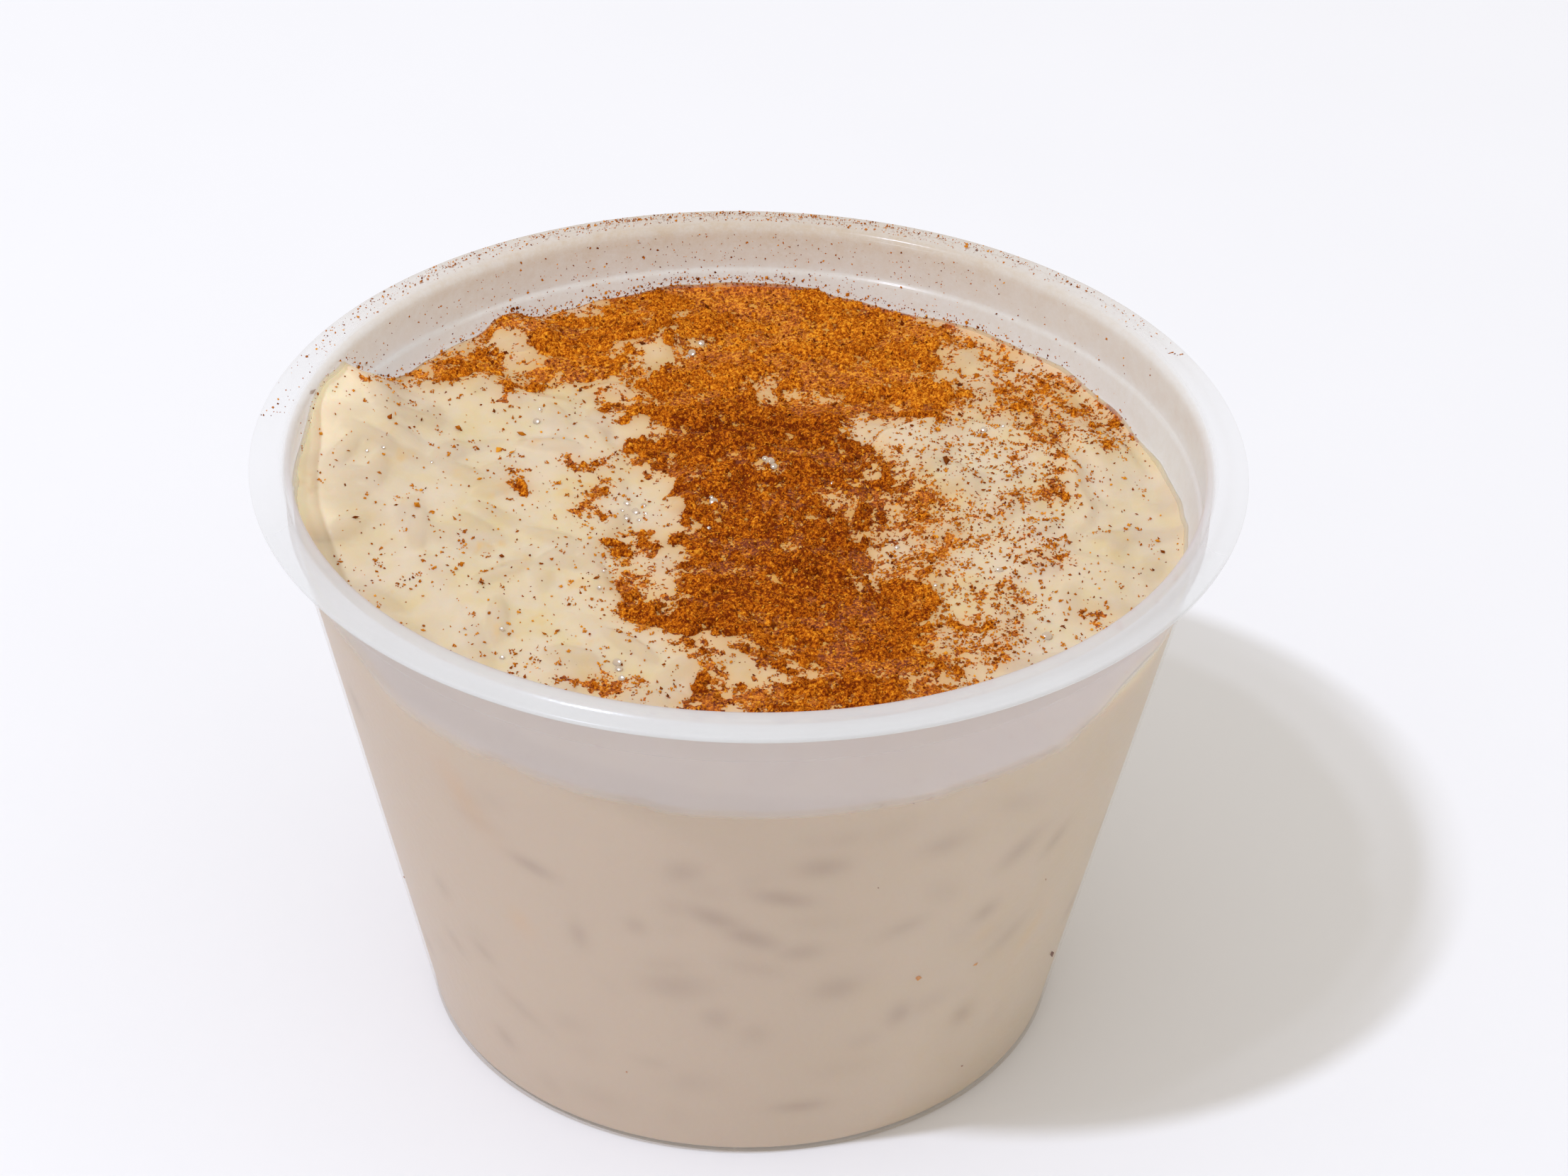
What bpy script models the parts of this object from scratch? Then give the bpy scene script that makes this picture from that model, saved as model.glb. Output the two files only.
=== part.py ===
"""Rice pudding in a small translucent polypropylene portion cup.

Units are metres, +Z is up, and the origin is the middle of the cup's flat base.
The cup is a turned thin-walled shell. The pudding fills it nearly to the rim and
has an uneven, spooned top. It keeps a small gap to the cup all round.
"""

import math

import bmesh
import bpy
from mathutils import Vector, noise

MM = 0.001
COLLECTION = "rice_pudding"
SEGMENTS = 72
MERGE = 0.00001

# Cup
RIM_RADIUS = 37.0 * MM
CUP_HEIGHT = 47.8 * MM
BASE_RADIUS = 24.6 * MM
WALL_SLOPE = 0.2173          # outward run of the wall for each unit of height
WALL = 0.5 * MM
FLOOR = 0.6 * MM
FLOOR_FILLET = 1.5 * MM      # round corner inside, where wall meets floor
FOOT_CHAMFER = 0.5 * MM
LEDGE_DEPTH = 4.2 * MM       # stacking ledge, measured down from the rim
LEDGE_RISE = 0.2 * MM
NECK_RADIUS = 33.85 * MM     # inside the mouth, above the ledge
MOUTH_FILLET = 0.7 * MM      # the neck turns over into the flange
SHOULDER_DROP = 0.15 * MM    # the flange starts this far below its crown
CROWN_RADIUS = 35.3 * MM     # a low raised bead runs round the flange
BRIM_START = 35.95 * MM      # outside it the flange is a flat brim
BRIM_DROP = 0.4 * MM
BRIM_THICKNESS = 0.4 * MM

# Pudding
GAP = 0.3 * MM
MEAN_DEPTH = 7.9 * MM        # surface below the rim, at the wall
SLOPE_RISE = 2.1 * MM        # the surface leans: higher on one side, lower opposite
SLOPE_TOWARDS = 115.0        # direction of its high side, degrees from +X
DOME = 0.3 * MM              # and it is a little higher in the middle
ROUGHNESS = 0.45 * MM        # small rise and fall of the spooned surface
ROUGHNESS_PITCH = 6.5 * MM
TOP_RINGS = 24
SIDE_RINGS = 3
SIDE_TOP = 32.0 * MM         # below this the side is plain
HIGHEST = CUP_HEIGHT - LEDGE_DEPTH - GAP

# Swells and hollows of the top, in mm: centre x, y, spread x, y, turn in degrees, height
LUMPS = (
    (-32.0, 12.0, 3.2, 8.0, 20.0, 3.0),
    (-27.0, 2.0, 6.0, 8.0, 0.0, 0.5),
    (-17.5, 25.0, 5.0, 1.8, -35.0, 0.7),
    (-7.5, 26.5, 1.8, 4.0, -25.0, 0.7),
    (16.0, 8.0, 8.0, 6.0, -8.0, 0.8),
    (26.0, 12.0, 2.4, 5.0, 30.0, 0.6),
    (27.0, -2.0, 5.0, 7.0, 12.0, 0.5),
    (0.0, 8.0, 7.0, 4.0, 4.0, 0.4),
    (4.0, 18.0, 6.0, 2.2, 0.0, -0.5),
    (-17.0, -5.0, 8.0, 6.0, -20.0, 0.3),
    (-8.0, -15.0, 5.0, 3.5, 0.0, 0.3),
    (10.0, -15.0, 7.0, 4.0, 10.0, 0.3),
    (-8.5, 3.5, 2.2, 4.0, -15.0, -0.7),
    (9.5, 0.0, 2.4, 6.0, 8.0, -0.4),
    (-20.0, 17.0, 5.0, 3.0, 10.0, 0.4),
)

# Colours
PUDDING_COLOUR = (0.80, 0.68, 0.50, 1.0)
PLASTIC_COLOUR = (0.80, 0.79, 0.81, 1.0)


def remove_objects():
    for item in list(bpy.data.objects):
        bpy.data.objects.remove(item, do_unlink=True)


def new_collection(name):
    group = bpy.data.collections.new(name)
    bpy.context.scene.collection.children.link(group)
    return group


def make_material(name, colour, roughness, metallic=0.0):
    material = bpy.data.materials.new(name)
    material.use_nodes = True
    shader = material.node_tree.nodes["Principled BSDF"]
    shader.inputs["Base Color"].default_value = colour
    shader.inputs["Roughness"].default_value = roughness
    shader.inputs["Metallic"].default_value = metallic
    return material


def wall_outside(z):
    """Outer radius of the tapered wall at height z."""
    return BASE_RADIUS + WALL_SLOPE * z


def wall_inside(z):
    """Inner radius of the tapered wall at height z, below the ledge."""
    return wall_outside(z) - WALL * math.hypot(1.0, WALL_SLOPE)


def arc(centre, radius, start, end, steps):
    """Points (r, z) on an arc, with angles in degrees measured from +r."""
    points = []
    for i in range(steps + 1):
        angle = math.radians(start + (end - start) * i / steps)
        points.append((centre[0] + radius * math.cos(angle), centre[1] + radius * math.sin(angle)))
    return points


def cup_profile():
    """Half section of the cup: up the inside, over the flange and down the outside."""
    ledge = CUP_HEIGHT - LEDGE_DEPTH
    fillet_z = FLOOR + FLOOR_FILLET
    fillet_r = wall_inside(fillet_z) - FLOOR_FILLET
    mouth_r = NECK_RADIUS + MOUTH_FILLET
    mouth_z = CUP_HEIGHT - SHOULDER_DROP - MOUTH_FILLET
    brim_top = CUP_HEIGHT - BRIM_DROP
    brim_bottom = brim_top - BRIM_THICKNESS
    neck_outside = NECK_RADIUS + WALL
    chamfer_top = FOOT_CHAMFER * 1.6

    inside = [(0.0, FLOOR)]
    inside += arc((fillet_r, fillet_z), FLOOR_FILLET, -90.0, -10.0, 4)
    inside += [(wall_inside(ledge), ledge), (NECK_RADIUS, ledge + LEDGE_RISE)]
    inside += arc((mouth_r, mouth_z), MOUTH_FILLET, 180.0, 90.0, 4)

    flange = [
        (CROWN_RADIUS - SHOULDER_DROP, CUP_HEIGHT),
        (CROWN_RADIUS + SHOULDER_DROP, CUP_HEIGHT),
        (BRIM_START, brim_top),
        (RIM_RADIUS, brim_top),
        (RIM_RADIUS, brim_bottom),
        (BRIM_START, brim_bottom),
        (neck_outside + BRIM_THICKNESS, brim_bottom),
        (neck_outside, brim_bottom - BRIM_THICKNESS),
    ]

    outside = [
        (neck_outside, ledge),
        (wall_outside(ledge - LEDGE_RISE), ledge - LEDGE_RISE),
        (wall_outside(chamfer_top), chamfer_top),
        (BASE_RADIUS, FOOT_CHAMFER * 0.5),
        (BASE_RADIUS - FOOT_CHAMFER, 0.0),
        (0.0, 0.0),
    ]
    return inside + flange + outside


def turned(name, profile, material, group):
    """A solid of revolution: the profile lies in the XZ plane at +X."""
    mesh = bpy.data.meshes.new(name)
    vertices = [(r, 0.0, z) for r, z in profile]
    edges = [(i, i + 1) for i in range(len(profile) - 1)]
    mesh.from_pydata(vertices, edges, [])
    solid = bpy.data.objects.new(name, mesh)
    group.objects.link(solid)
    screw = solid.modifiers.new("Turn", "SCREW")
    screw.axis = "Z"
    screw.angle = math.tau
    screw.steps = SEGMENTS
    screw.render_steps = SEGMENTS
    screw.use_merge_vertices = True
    screw.merge_threshold = MERGE
    screw.use_smooth_shade = True
    mesh.materials.append(material)
    return solid


def lump(x, y, centre_x, centre_y, spread_x, spread_y, turn, height):
    """One soft oval swell of the surface, all lengths in millimetres."""
    angle = math.radians(turn)
    along = (x - centre_x) * math.cos(angle) + (y - centre_y) * math.sin(angle)
    across = (y - centre_y) * math.cos(angle) - (x - centre_x) * math.sin(angle)
    return height * math.exp(-0.5 * ((along / spread_x) ** 2 + (across / spread_y) ** 2))


def surface_height(x, y):
    """Height of the pudding's top above the base at a place (x, y)."""
    half = wall_inside(CUP_HEIGHT - MEAN_DEPTH)
    lean = math.radians(SLOPE_TOWARDS)
    slope = SLOPE_RISE * (x * math.cos(lean) + y * math.sin(lean)) / half
    dome = DOME * (1.0 - (x * x + y * y) / half ** 2)
    relief = sum(lump(x / MM, y / MM, *values) for values in LUMPS) * MM
    place = Vector((x, y, 0.0)) / ROUGHNESS_PITCH
    rough = ROUGHNESS * noise.noise(place)
    return min(CUP_HEIGHT - MEAN_DEPTH + slope + dome + relief + rough, HIGHEST)


def edge_radius(angle):
    """Radius at which the surface meets the wall, less the gap, in one direction."""
    radius = wall_inside(CUP_HEIGHT - MEAN_DEPTH) - GAP
    for _ in range(6):
        height = surface_height(radius * math.cos(angle), radius * math.sin(angle))
        radius = wall_inside(height) - GAP
    return radius


def pudding_profile(level):
    """Half section of the filling with a flat top at one level, out to the wall."""
    floor = FLOOR + GAP
    low = floor + FLOOR_FILLET
    fillet_r = wall_inside(low) - GAP - FLOOR_FILLET
    rim = wall_inside(level) - GAP
    points = [(rim * i / TOP_RINGS, level) for i in range(TOP_RINGS + 1)]
    for i in range(1, SIDE_RINGS):
        z = level + (low - level) * i / SIDE_RINGS
        points.append((wall_inside(z) - GAP, z))
    points += arc((fillet_r, low), FLOOR_FILLET, -10.0, -90.0, 4)
    points.append((0.0, floor))
    return points


def make_pudding(material, group):
    """Turn the filling, then raise and lower its top to the spooned surface."""
    blank = turned("pudding_blank", pudding_profile(SIDE_TOP), material, group)
    bpy.context.view_layer.update()
    evaluated = blank.evaluated_get(bpy.context.evaluated_depsgraph_get())
    mesh = bpy.data.meshes.new_from_object(evaluated)
    mesh.name = "pudding"
    bpy.data.objects.remove(blank, do_unlink=True)

    rim = wall_inside(SIDE_TOP) - GAP
    shaped = bmesh.new()
    shaped.from_mesh(mesh)
    for vertex in shaped.verts:
        if vertex.co.z < SIDE_TOP - MERGE:
            continue
        flat = Vector((vertex.co.x, vertex.co.y))
        angle = math.atan2(flat.y, flat.x)
        radius = flat.length / rim * edge_radius(angle)
        vertex.co.x = radius * math.cos(angle)
        vertex.co.y = radius * math.sin(angle)
        vertex.co.z = surface_height(vertex.co.x, vertex.co.y)
    bmesh.ops.recalc_face_normals(shaped, faces=shaped.faces)
    shaped.to_mesh(mesh)
    shaped.free()
    pudding = bpy.data.objects.new("pudding", mesh)
    group.objects.link(pudding)
    return pudding


def main():
    remove_objects()
    group = new_collection(COLLECTION)
    plastic = make_material("translucent_polypropylene", PLASTIC_COLOUR, 0.35)
    milk_rice = make_material("milk_rice_pudding", PUDDING_COLOUR, 0.3)
    turned("cup", cup_profile(), plastic, group)
    make_pudding(milk_rice, group)


main()
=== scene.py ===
# %% [markdown]
# # A small cup of rice pudding
# The object is a thin cup of translucent plastic, filled almost to its rim with cold
# rice pudding and dusted with ground cinnamon. It is about as wide as a palm.
# We build it from the outside in: the cup, the pudding inside it, the cinnamon as a
# bed, as loose powder and as chips of bark, and last the drops that sparkle.
#
# The frame comes first. It is the measured model of the same object, and every piece
# below takes its size and place from it, so that nothing has to be fitted afterwards.

# %% Load the frame
import math

import bpy
import numpy as np
from mathutils import Matrix, Vector, noise


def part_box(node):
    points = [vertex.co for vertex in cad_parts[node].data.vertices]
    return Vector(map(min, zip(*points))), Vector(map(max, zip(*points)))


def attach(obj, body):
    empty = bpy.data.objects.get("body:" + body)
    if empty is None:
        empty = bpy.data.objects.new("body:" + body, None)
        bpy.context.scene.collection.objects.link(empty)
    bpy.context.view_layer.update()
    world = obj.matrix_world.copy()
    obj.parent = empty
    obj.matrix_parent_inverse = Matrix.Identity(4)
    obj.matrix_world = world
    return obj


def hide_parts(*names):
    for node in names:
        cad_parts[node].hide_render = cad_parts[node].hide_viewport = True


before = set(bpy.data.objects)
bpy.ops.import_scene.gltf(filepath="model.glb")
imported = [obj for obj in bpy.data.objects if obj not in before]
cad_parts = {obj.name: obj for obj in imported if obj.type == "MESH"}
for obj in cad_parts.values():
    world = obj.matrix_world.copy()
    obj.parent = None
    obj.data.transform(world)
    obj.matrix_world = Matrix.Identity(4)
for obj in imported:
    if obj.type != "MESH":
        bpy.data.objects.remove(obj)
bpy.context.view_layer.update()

print("nodes:", sorted(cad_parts))

# %% [markdown]
# ## Sizes
# Food and packaging are small, so the sizes below are in millimetres, and one factor
# turns them to Blender's metres when a mesh is made. The rim's radius and the height
# are read from the frame. The others repeat the measured model of the cup.

# %% Name the sizes
MM = 0.001
_, cup_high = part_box("cup")
RIM_RADIUS = cup_high[0] / MM
CUP_HEIGHT = cup_high[2] / MM
BASE_RADIUS = 24.6
WALL_SLOPE = 0.2173             # the wall leans out by this much for each mm of height
WALL = 0.5
FLOOR = 0.6
LEDGE = CUP_HEIGHT - 4.2        # a small ledge, on which stacked cups rest
LEDGE_RISE = 0.2
NECK_RADIUS = 33.85             # inside the straight neck above the ledge


def wall_outside(z):
    """Outer radius of the tapered wall at height z."""
    return BASE_RADIUS + WALL_SLOPE * z


def wall_inside(z):
    """Inner radius of the cup at height z: the taper, and the straight neck above the ledge."""
    taper = wall_outside(z) - WALL * math.hypot(1.0, WALL_SLOPE)
    return np.where(z > LEDGE + LEDGE_RISE, NECK_RADIUS, np.minimum(taper, NECK_RADIUS))


print(f"rim {RIM_RADIUS:.1f} mm, height {CUP_HEIGHT:.1f} mm")

# %% [markdown]
# ## Helpers for meshes
# A mesh in Blender is a list of points and a list of faces that name the points.
# Numpy makes both lists quickly, even for thousands of grains, and `make_piece` turns
# them into an object that rides on the cup. A point attribute is one number for each
# point, such as how wet it is, which a material can read.

# %% Make a piece from points and faces
def new_object(name, data):
    """A new object in the scene for a mesh, a lamp or a camera."""
    made = bpy.data.objects.new(name, data)
    bpy.context.scene.collection.objects.link(made)
    return made


def make_piece(name, points, faces, material, attributes=None, smooth=True):
    """A mesh object from points in millimetres and faces, with its finish."""
    mesh = bpy.data.meshes.new(name)
    mesh.from_pydata((points * MM).tolist(), [], faces.tolist())
    for key, values in (attributes or {}).items():
        layer = mesh.attributes.new(key, "FLOAT", "POINT")
        layer.data.foreach_set("value", np.asarray(values, dtype=np.float32))
    if smooth:
        mesh.shade_smooth()
    mesh.materials.append(material)
    piece = new_object(name, mesh)
    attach(piece, "root")
    triangles = sum(len(face.vertices) - 2 for face in mesh.polygons)
    print(f"{name}: {len(mesh.vertices)} points, {triangles} triangles")
    return piece


def ring_faces(rows, columns, start=0):
    """Four-sided faces between rows of points that each close in a ring."""
    row, column = np.meshgrid(np.arange(rows - 1), np.arange(columns), indexing="ij")
    here = start + row * columns + column
    beside = start + row * columns + (column + 1) % columns
    return np.stack([here, here + columns, beside + columns, beside], axis=-1).reshape(-1, 4)


# %% [markdown]
# ## Helpers for materials
# A colour is easiest to name as an sRGB hex code, but the shader counts light, so the
# code is turned to linear values first. A material is a small graph of nodes. `add`
# puts one node in the graph, sets its values and joins it to the nodes before it.

# %% Colours and nodes
def linear(code):
    """An sRGB hex colour such as #E8D4B0 as the linear RGBA that Blender's nodes expect."""
    parts = [int(code[i:i + 2], 16) / 255 for i in (1, 3, 5)]
    bent = [c / 12.92 if c <= 0.04045 else ((c + 0.055) / 1.055) ** 2.4 for c in parts]
    return (*bent, 1.0)


def new_material(name):
    """A new material with an empty node tree."""
    material = bpy.data.materials.new(name)
    material.use_nodes = True
    material.node_tree.nodes.clear()
    return material


def add(material, kind, settings=None, links=None):
    """Add a shader node. Settings and links name its options and sockets, or count its sockets."""
    tree = material.node_tree
    node = tree.nodes.new("ShaderNode" + kind)
    for key, value in (settings or {}).items():
        if isinstance(key, str) and hasattr(node, key):
            setattr(node, key, value)
        else:
            node.inputs[key].default_value = value
    for key, source in (links or {}).items():
        tree.links.new(source, node.inputs[key])
    return node


MIX_A, MIX_B, MIX_OUT = 6, 7, 2     # the colour sockets of a Mix node in RGBA mode

# %% [markdown]
# ## Random numbers
# Grains and chips are scattered by chance, but the same way each time, so that the
# picture can be made again. One seeded generator gives all the random numbers.

# %% Seed the chance
chance = np.random.default_rng(27)

# %% [markdown]
# ## The surface of the pudding
# The pudding was spooned in and settled: it is higher at the back and on one side,
# lower at the front, with swells, hollows and a few folds. A sculptor would push it
# with brushes. We use a height field instead, a fine square grid over the mouth that
# holds one height for each place, because the same field can then carry the mesh of
# the pudding and every grain of cinnamon that lies on it.

# %% Lay out the grid
PITCH = 0.15            # from one grid point to the next
HALF = 36.0             # half the side of the square
axis = np.arange(-HALF, HALF + PITCH / 2, PITCH)
GRID_X, GRID_Y = np.meshgrid(axis, axis)


def smooth(value):
    """0 up to 0, 1 from 1 on, and an S-curve between."""
    t = np.clip(value, 0.0, 1.0)
    return t * t * (3.0 - 2.0 * t)


def oval(x, y, centre_x, centre_y, radius_x, radius_y, turn):
    """How far out a place is in an oval: 0 at the middle and 1 on the edge."""
    angle = math.radians(turn)
    along = (x - centre_x) * math.cos(angle) + (y - centre_y) * math.sin(angle)
    across = (y - centre_y) * math.cos(angle) - (x - centre_x) * math.sin(angle)
    return np.hypot(along / radius_x, across / radius_y)


def ripple(x, y, pitch, layer=0.0):
    """Smooth noise with lumps about one pitch apart, a new pattern for each layer."""
    # whole numbers are where this noise is always zero, so each layer lies between two
    depth = layer + 0.37 if layer else 0.0
    places = zip((x / pitch).ravel(), (y / pitch).ravel())
    values = [noise.noise(Vector((a, b, depth))) for a, b in places]
    return np.array(values).reshape(np.shape(x))


def ripples(*layers):
    """Ripples over the whole grid, added up, each given by its strength, pitch and layer."""
    return sum(strength * ripple(GRID_X, GRID_Y, pitch, layer) for strength, pitch, layer in layers)


def blurred(field, width):
    """Soften a field on the grid by a bell curve, width in millimetres."""
    reach = int(3 * width / PITCH)
    bell = np.exp(-0.5 * (np.arange(-reach, reach + 1) * PITCH / width) ** 2)
    bell /= bell.sum()
    rows = np.apply_along_axis(np.convolve, 0, field, bell, "same")
    return np.apply_along_axis(np.convolve, 1, rows, bell, "same")


def sample(field, x, y):
    """Read a field at any places, blending the four grid points around each."""
    u = np.clip((x + HALF) / PITCH, 0, len(axis) - 1.001)
    v = np.clip((y + HALF) / PITCH, 0, len(axis) - 1.001)
    i, j = u.astype(int), v.astype(int)
    s, t = u - i, v - j
    near = field[j, i] * (1 - s) + field[j, i + 1] * s
    far = field[j + 1, i] * (1 - s) + field[j + 1, i + 1] * s
    return near * (1 - t) + far * t


print(f"grid {len(axis)} x {len(axis)}")

# %% [markdown]
# The large shape comes first. A tilted plane and a low dome give the level, and each
# lump is a soft oval swell (or, with a negative height, a hollow).

# %% Raise the large shape
MEAN_DEPTH = 7.9        # surface below the rim, at the wall
SLOPE_RISE = 2.1        # the surface leans up by this much at the wall
SLOPE_TOWARDS = 115.0   # towards this direction, degrees from +X
DOME = 0.3              # the middle stands this much above the edge
ROUGHNESS = 0.45        # strength of the swells that noise adds
ROUGHNESS_PITCH = 6.5
HIGHEST = LEDGE - 0.3   # the surface levels off just below the ledge
LEVELLING = 0.25        # and bends softly over this height
SETTLING = 0.25         # the dollops below add this much on average

# centre x, y, spread x, y, turn in degrees, height
LUMPS = (
    (-32.0, 12.0, 3.2, 8.0, 20.0, 3.0),
    (-27.0, 2.0, 6.0, 8.0, 0.0, 0.5),
    (-17.5, 25.0, 5.0, 1.8, -35.0, 0.7),
    (-7.5, 26.5, 1.8, 4.0, -25.0, 0.7),
    (16.0, 8.0, 8.0, 6.0, -8.0, 0.8),
    (26.0, 12.0, 2.4, 5.0, 30.0, 0.6),
    (27.0, -2.0, 5.0, 7.0, 12.0, 0.5),
    (0.0, 8.0, 7.0, 4.0, 4.0, 0.4),
    (4.0, 18.0, 6.0, 2.2, 0.0, -0.5),
    (-17.0, -5.0, 8.0, 6.0, -20.0, 0.3),
    (-8.0, -15.0, 5.0, 3.5, 0.0, 0.3),
    (10.0, -15.0, 7.0, 4.0, 10.0, 0.3),
    (-8.5, 3.5, 2.2, 4.0, -15.0, -0.7),
    (9.5, 0.0, 2.4, 6.0, 8.0, -0.4),
    (-20.0, 17.0, 5.0, 3.0, 10.0, 0.4),
)

half_mouth = float(wall_inside(CUP_HEIGHT - MEAN_DEPTH))
lean = math.radians(SLOPE_TOWARDS)
uphill = (GRID_X * math.cos(lean) + GRID_Y * math.sin(lean)) / half_mouth
level = CUP_HEIGHT - MEAN_DEPTH + SLOPE_RISE * uphill
level += DOME * (1.0 - (GRID_X**2 + GRID_Y**2) / half_mouth**2)
for *place, height in LUMPS:
    level += height * np.exp(-0.5 * oval(GRID_X, GRID_Y, *place) ** 2)
level += ripples((ROUGHNESS, ROUGHNESS_PITCH, 0.0))
SURFACE = -LEVELLING * np.logaddexp(-level / LEVELLING, -HIGHEST / LEVELLING) - SETTLING
print(f"surface {SURFACE[level > 0].min():.1f} to {SURFACE.max():.1f} mm high")

# %% [markdown]
# Thick pudding doesn't flow flat. Where a spoon left a dollop, its top is a low table.
# The spoon was drawn off towards the back, so there the table ends in a soft step, and
# at the front it sinks into the rest. Where two dollops meet there is a crease, and one
# dollop on the left carries a curl. The edges wander, so noise shifts the places first.

# %% Add dollops, creases and a curl
WANDER = 0.9            # how far the noise shifts an edge
wander_x = GRID_X + ripples((WANDER, 4.0, 11.0))
wander_y = GRID_Y + ripples((WANDER, 4.0, 12.0))

# centre x, y, radius x, y, turn, height of the step, width of the step
DOLLOPS = (
    (16.5, 5.0, 9.0, 10.3, 0.0, 0.7, 1.0),
    (-22.0, 4.0, 12.5, 14.5, 0.0, 0.5, 1.6),
    (27.5, 11.0, 4.5, 2.0, -60.0, 0.5, 1.0),
    (-13.0, -12.0, 7.5, 5.0, -25.0, 0.3, 1.3),
    (24.0, -8.0, 7.0, 6.0, 30.0, 0.3, 1.4),
    (2.0, 7.5, 8.0, 5.0, 0.0, 0.35, 1.2),
    (4.0, -11.0, 9.5, 4.5, 0.0, 0.3, 1.2),
    (-18.5, 24.5, 2.2, 4.0, 25.0, 0.5, 1.0),
    (-8.0, 24.0, 1.5, 4.2, -15.0, 0.6, 1.0),
    (-24.5, -9.0, 5.0, 4.0, 20.0, 0.3, 1.2),
)
# centre x, y, radius x, y, turn, depth
CREASES = (
    (0.5, 13.3, 7.0, 0.55, 6.0, 0.55),
    (5.5, -6.8, 3.2, 0.45, -6.0, 0.45),
    (16.5, 16.0, 8.5, 0.6, -4.0, 0.4),
    (25.0, 11.5, 0.55, 5.5, 18.0, 0.4),
    (-9.5, -8.0, 0.5, 3.6, 25.0, 0.3),
    (-4.5, -12.4, 4.4, 0.45, -8.0, 0.3),
    (8.6, 6.0, 0.5, 5.0, 8.0, 0.3),
    (-27.5, 17.5, 5.0, 0.5, 12.0, 0.4),
    (-14.5, 19.0, 4.5, 0.5, -8.0, 0.35),
)
CURL_CENTRE = (-18.8, 24.0)
CURL_RADIUS = 2.3
CURL_HEIGHT = 0.35
CURL_WIDTH = 0.55

for *place, height, width in DOLLOPS:
    inwards = (1.0 - oval(wander_x, wander_y, *place)) * min(place[2:4])
    sinking = 0.35 + 0.65 * smooth(0.5 + 0.6 * (GRID_Y - place[1]) / place[3])
    SURFACE += height * sinking * smooth(0.5 + inwards / width)
creases = np.zeros_like(SURFACE)
for *place, depth in CREASES:
    creases = np.maximum(creases, depth * np.exp(-oval(wander_x, wander_y, *place) ** 2))
SURFACE -= creases
from_curl = np.hypot(wander_x - CURL_CENTRE[0], wander_y - CURL_CENTRE[1])
SURFACE += CURL_HEIGHT * np.exp(-(((from_curl - CURL_RADIUS) / CURL_WIDTH) ** 2))

# %% [markdown]
# Grains of cooked pudding rice are about 5.6 mm long and 2 mm wide. Just under
# the surface they raise it into soft, overlapping bumps at every angle. Each bump is
# half an oval, and where two overlap the higher one wins, as with real grains.

# %% Raise the rice grains
RICE_LENGTH = 5.6
RICE_WIDTH = 2.0
RICE_HEIGHT = 0.46      # of the proudest grain
RICE_COUNT = 430
rice = np.zeros_like(SURFACE)
for _ in range(RICE_COUNT):
    reach = half_mouth * math.sqrt(chance.random())
    bearing = chance.uniform(0, math.tau)
    middle_x, middle_y = reach * math.cos(bearing), reach * math.sin(bearing)
    length = RICE_LENGTH * chance.uniform(0.7, 1.1)
    width = RICE_WIDTH * chance.uniform(0.85, 1.2)
    height = RICE_HEIGHT * chance.uniform(0.15, 1.0) ** 1.5
    steps = int(length / PITCH)
    column = int((middle_x + HALF) / PITCH)
    row = int((middle_y + HALF) / PITCH)
    window = tuple(slice(max(cell - steps, 0), cell + steps) for cell in (row, column))
    place = (middle_x, middle_y, length / 2, width / 2, chance.uniform(0, 180))
    out = oval(GRID_X[window], GRID_Y[window], *place)
    bump = height * np.sqrt(np.clip(1.0 - out**2, 0.0, 1.0))
    rice[window] = np.maximum(rice[window], bump)
SURFACE += blurred(rice, 0.25)
SURFACE += ripples((0.08, 2.2, 3.0), (0.04, 0.8, 4.0))
print(f"{RICE_COUNT} rice grains, up to {rice.max():.2f} mm proud")

# %% [markdown]
# ## A plan drawn from the front
# The plan of the cinnamon below was drawn looking at the cup slantwise from the front,
# as if the pudding were level. A swell that rises by 1 mm shows what lies on it about
# 1.5 mm further back. These two helpers slide places from the plan to the real surface
# and from the surface to the plan.

# %% Slide between plan and surface
SLANT = 1.5             # 1 / tan of the angle at which the plan was drawn
PLAN_HEIGHT = 40.0
PLAN_RISE = 0.067       # the level of the plan rises to the back by this much for each mm


def above_plan(height, y):
    """How far a place lies above the level of the plan."""
    return height - PLAN_HEIGHT - PLAN_RISE * y


def from_plan(x, y):
    """The place on the surface for a place on the plan."""
    x, y = np.atleast_1d(np.asarray(x, dtype=float)), np.atleast_1d(np.asarray(y, dtype=float))
    real_y = y.copy()
    for _ in range(8):
        real_y = 0.5 * real_y + 0.5 * (y - SLANT * above_plan(sample(SURFACE, x, real_y), real_y))
    return x, real_y


gentle = blurred(SURFACE, 0.8)
PLAN_Y = GRID_Y + SLANT * above_plan(gentle, GRID_Y)

# %% [markdown]
# ## Where the cinnamon lies
# The cinnamon was shaken on from the back to the front: a thick band along the back
# wall, a column down the middle, patches at the front and loose specks elsewhere. A
# second field holds how well each place is covered, from 0 to 1. Ovals lay the powder
# down and other ovals keep places bare. Both have ragged edges from noise at 2.6 mm
# and 0.9 mm, because powder falls in clumps. Where the cover is below about a half, the
# powder lies as single grains with wet pudding between them.

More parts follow.
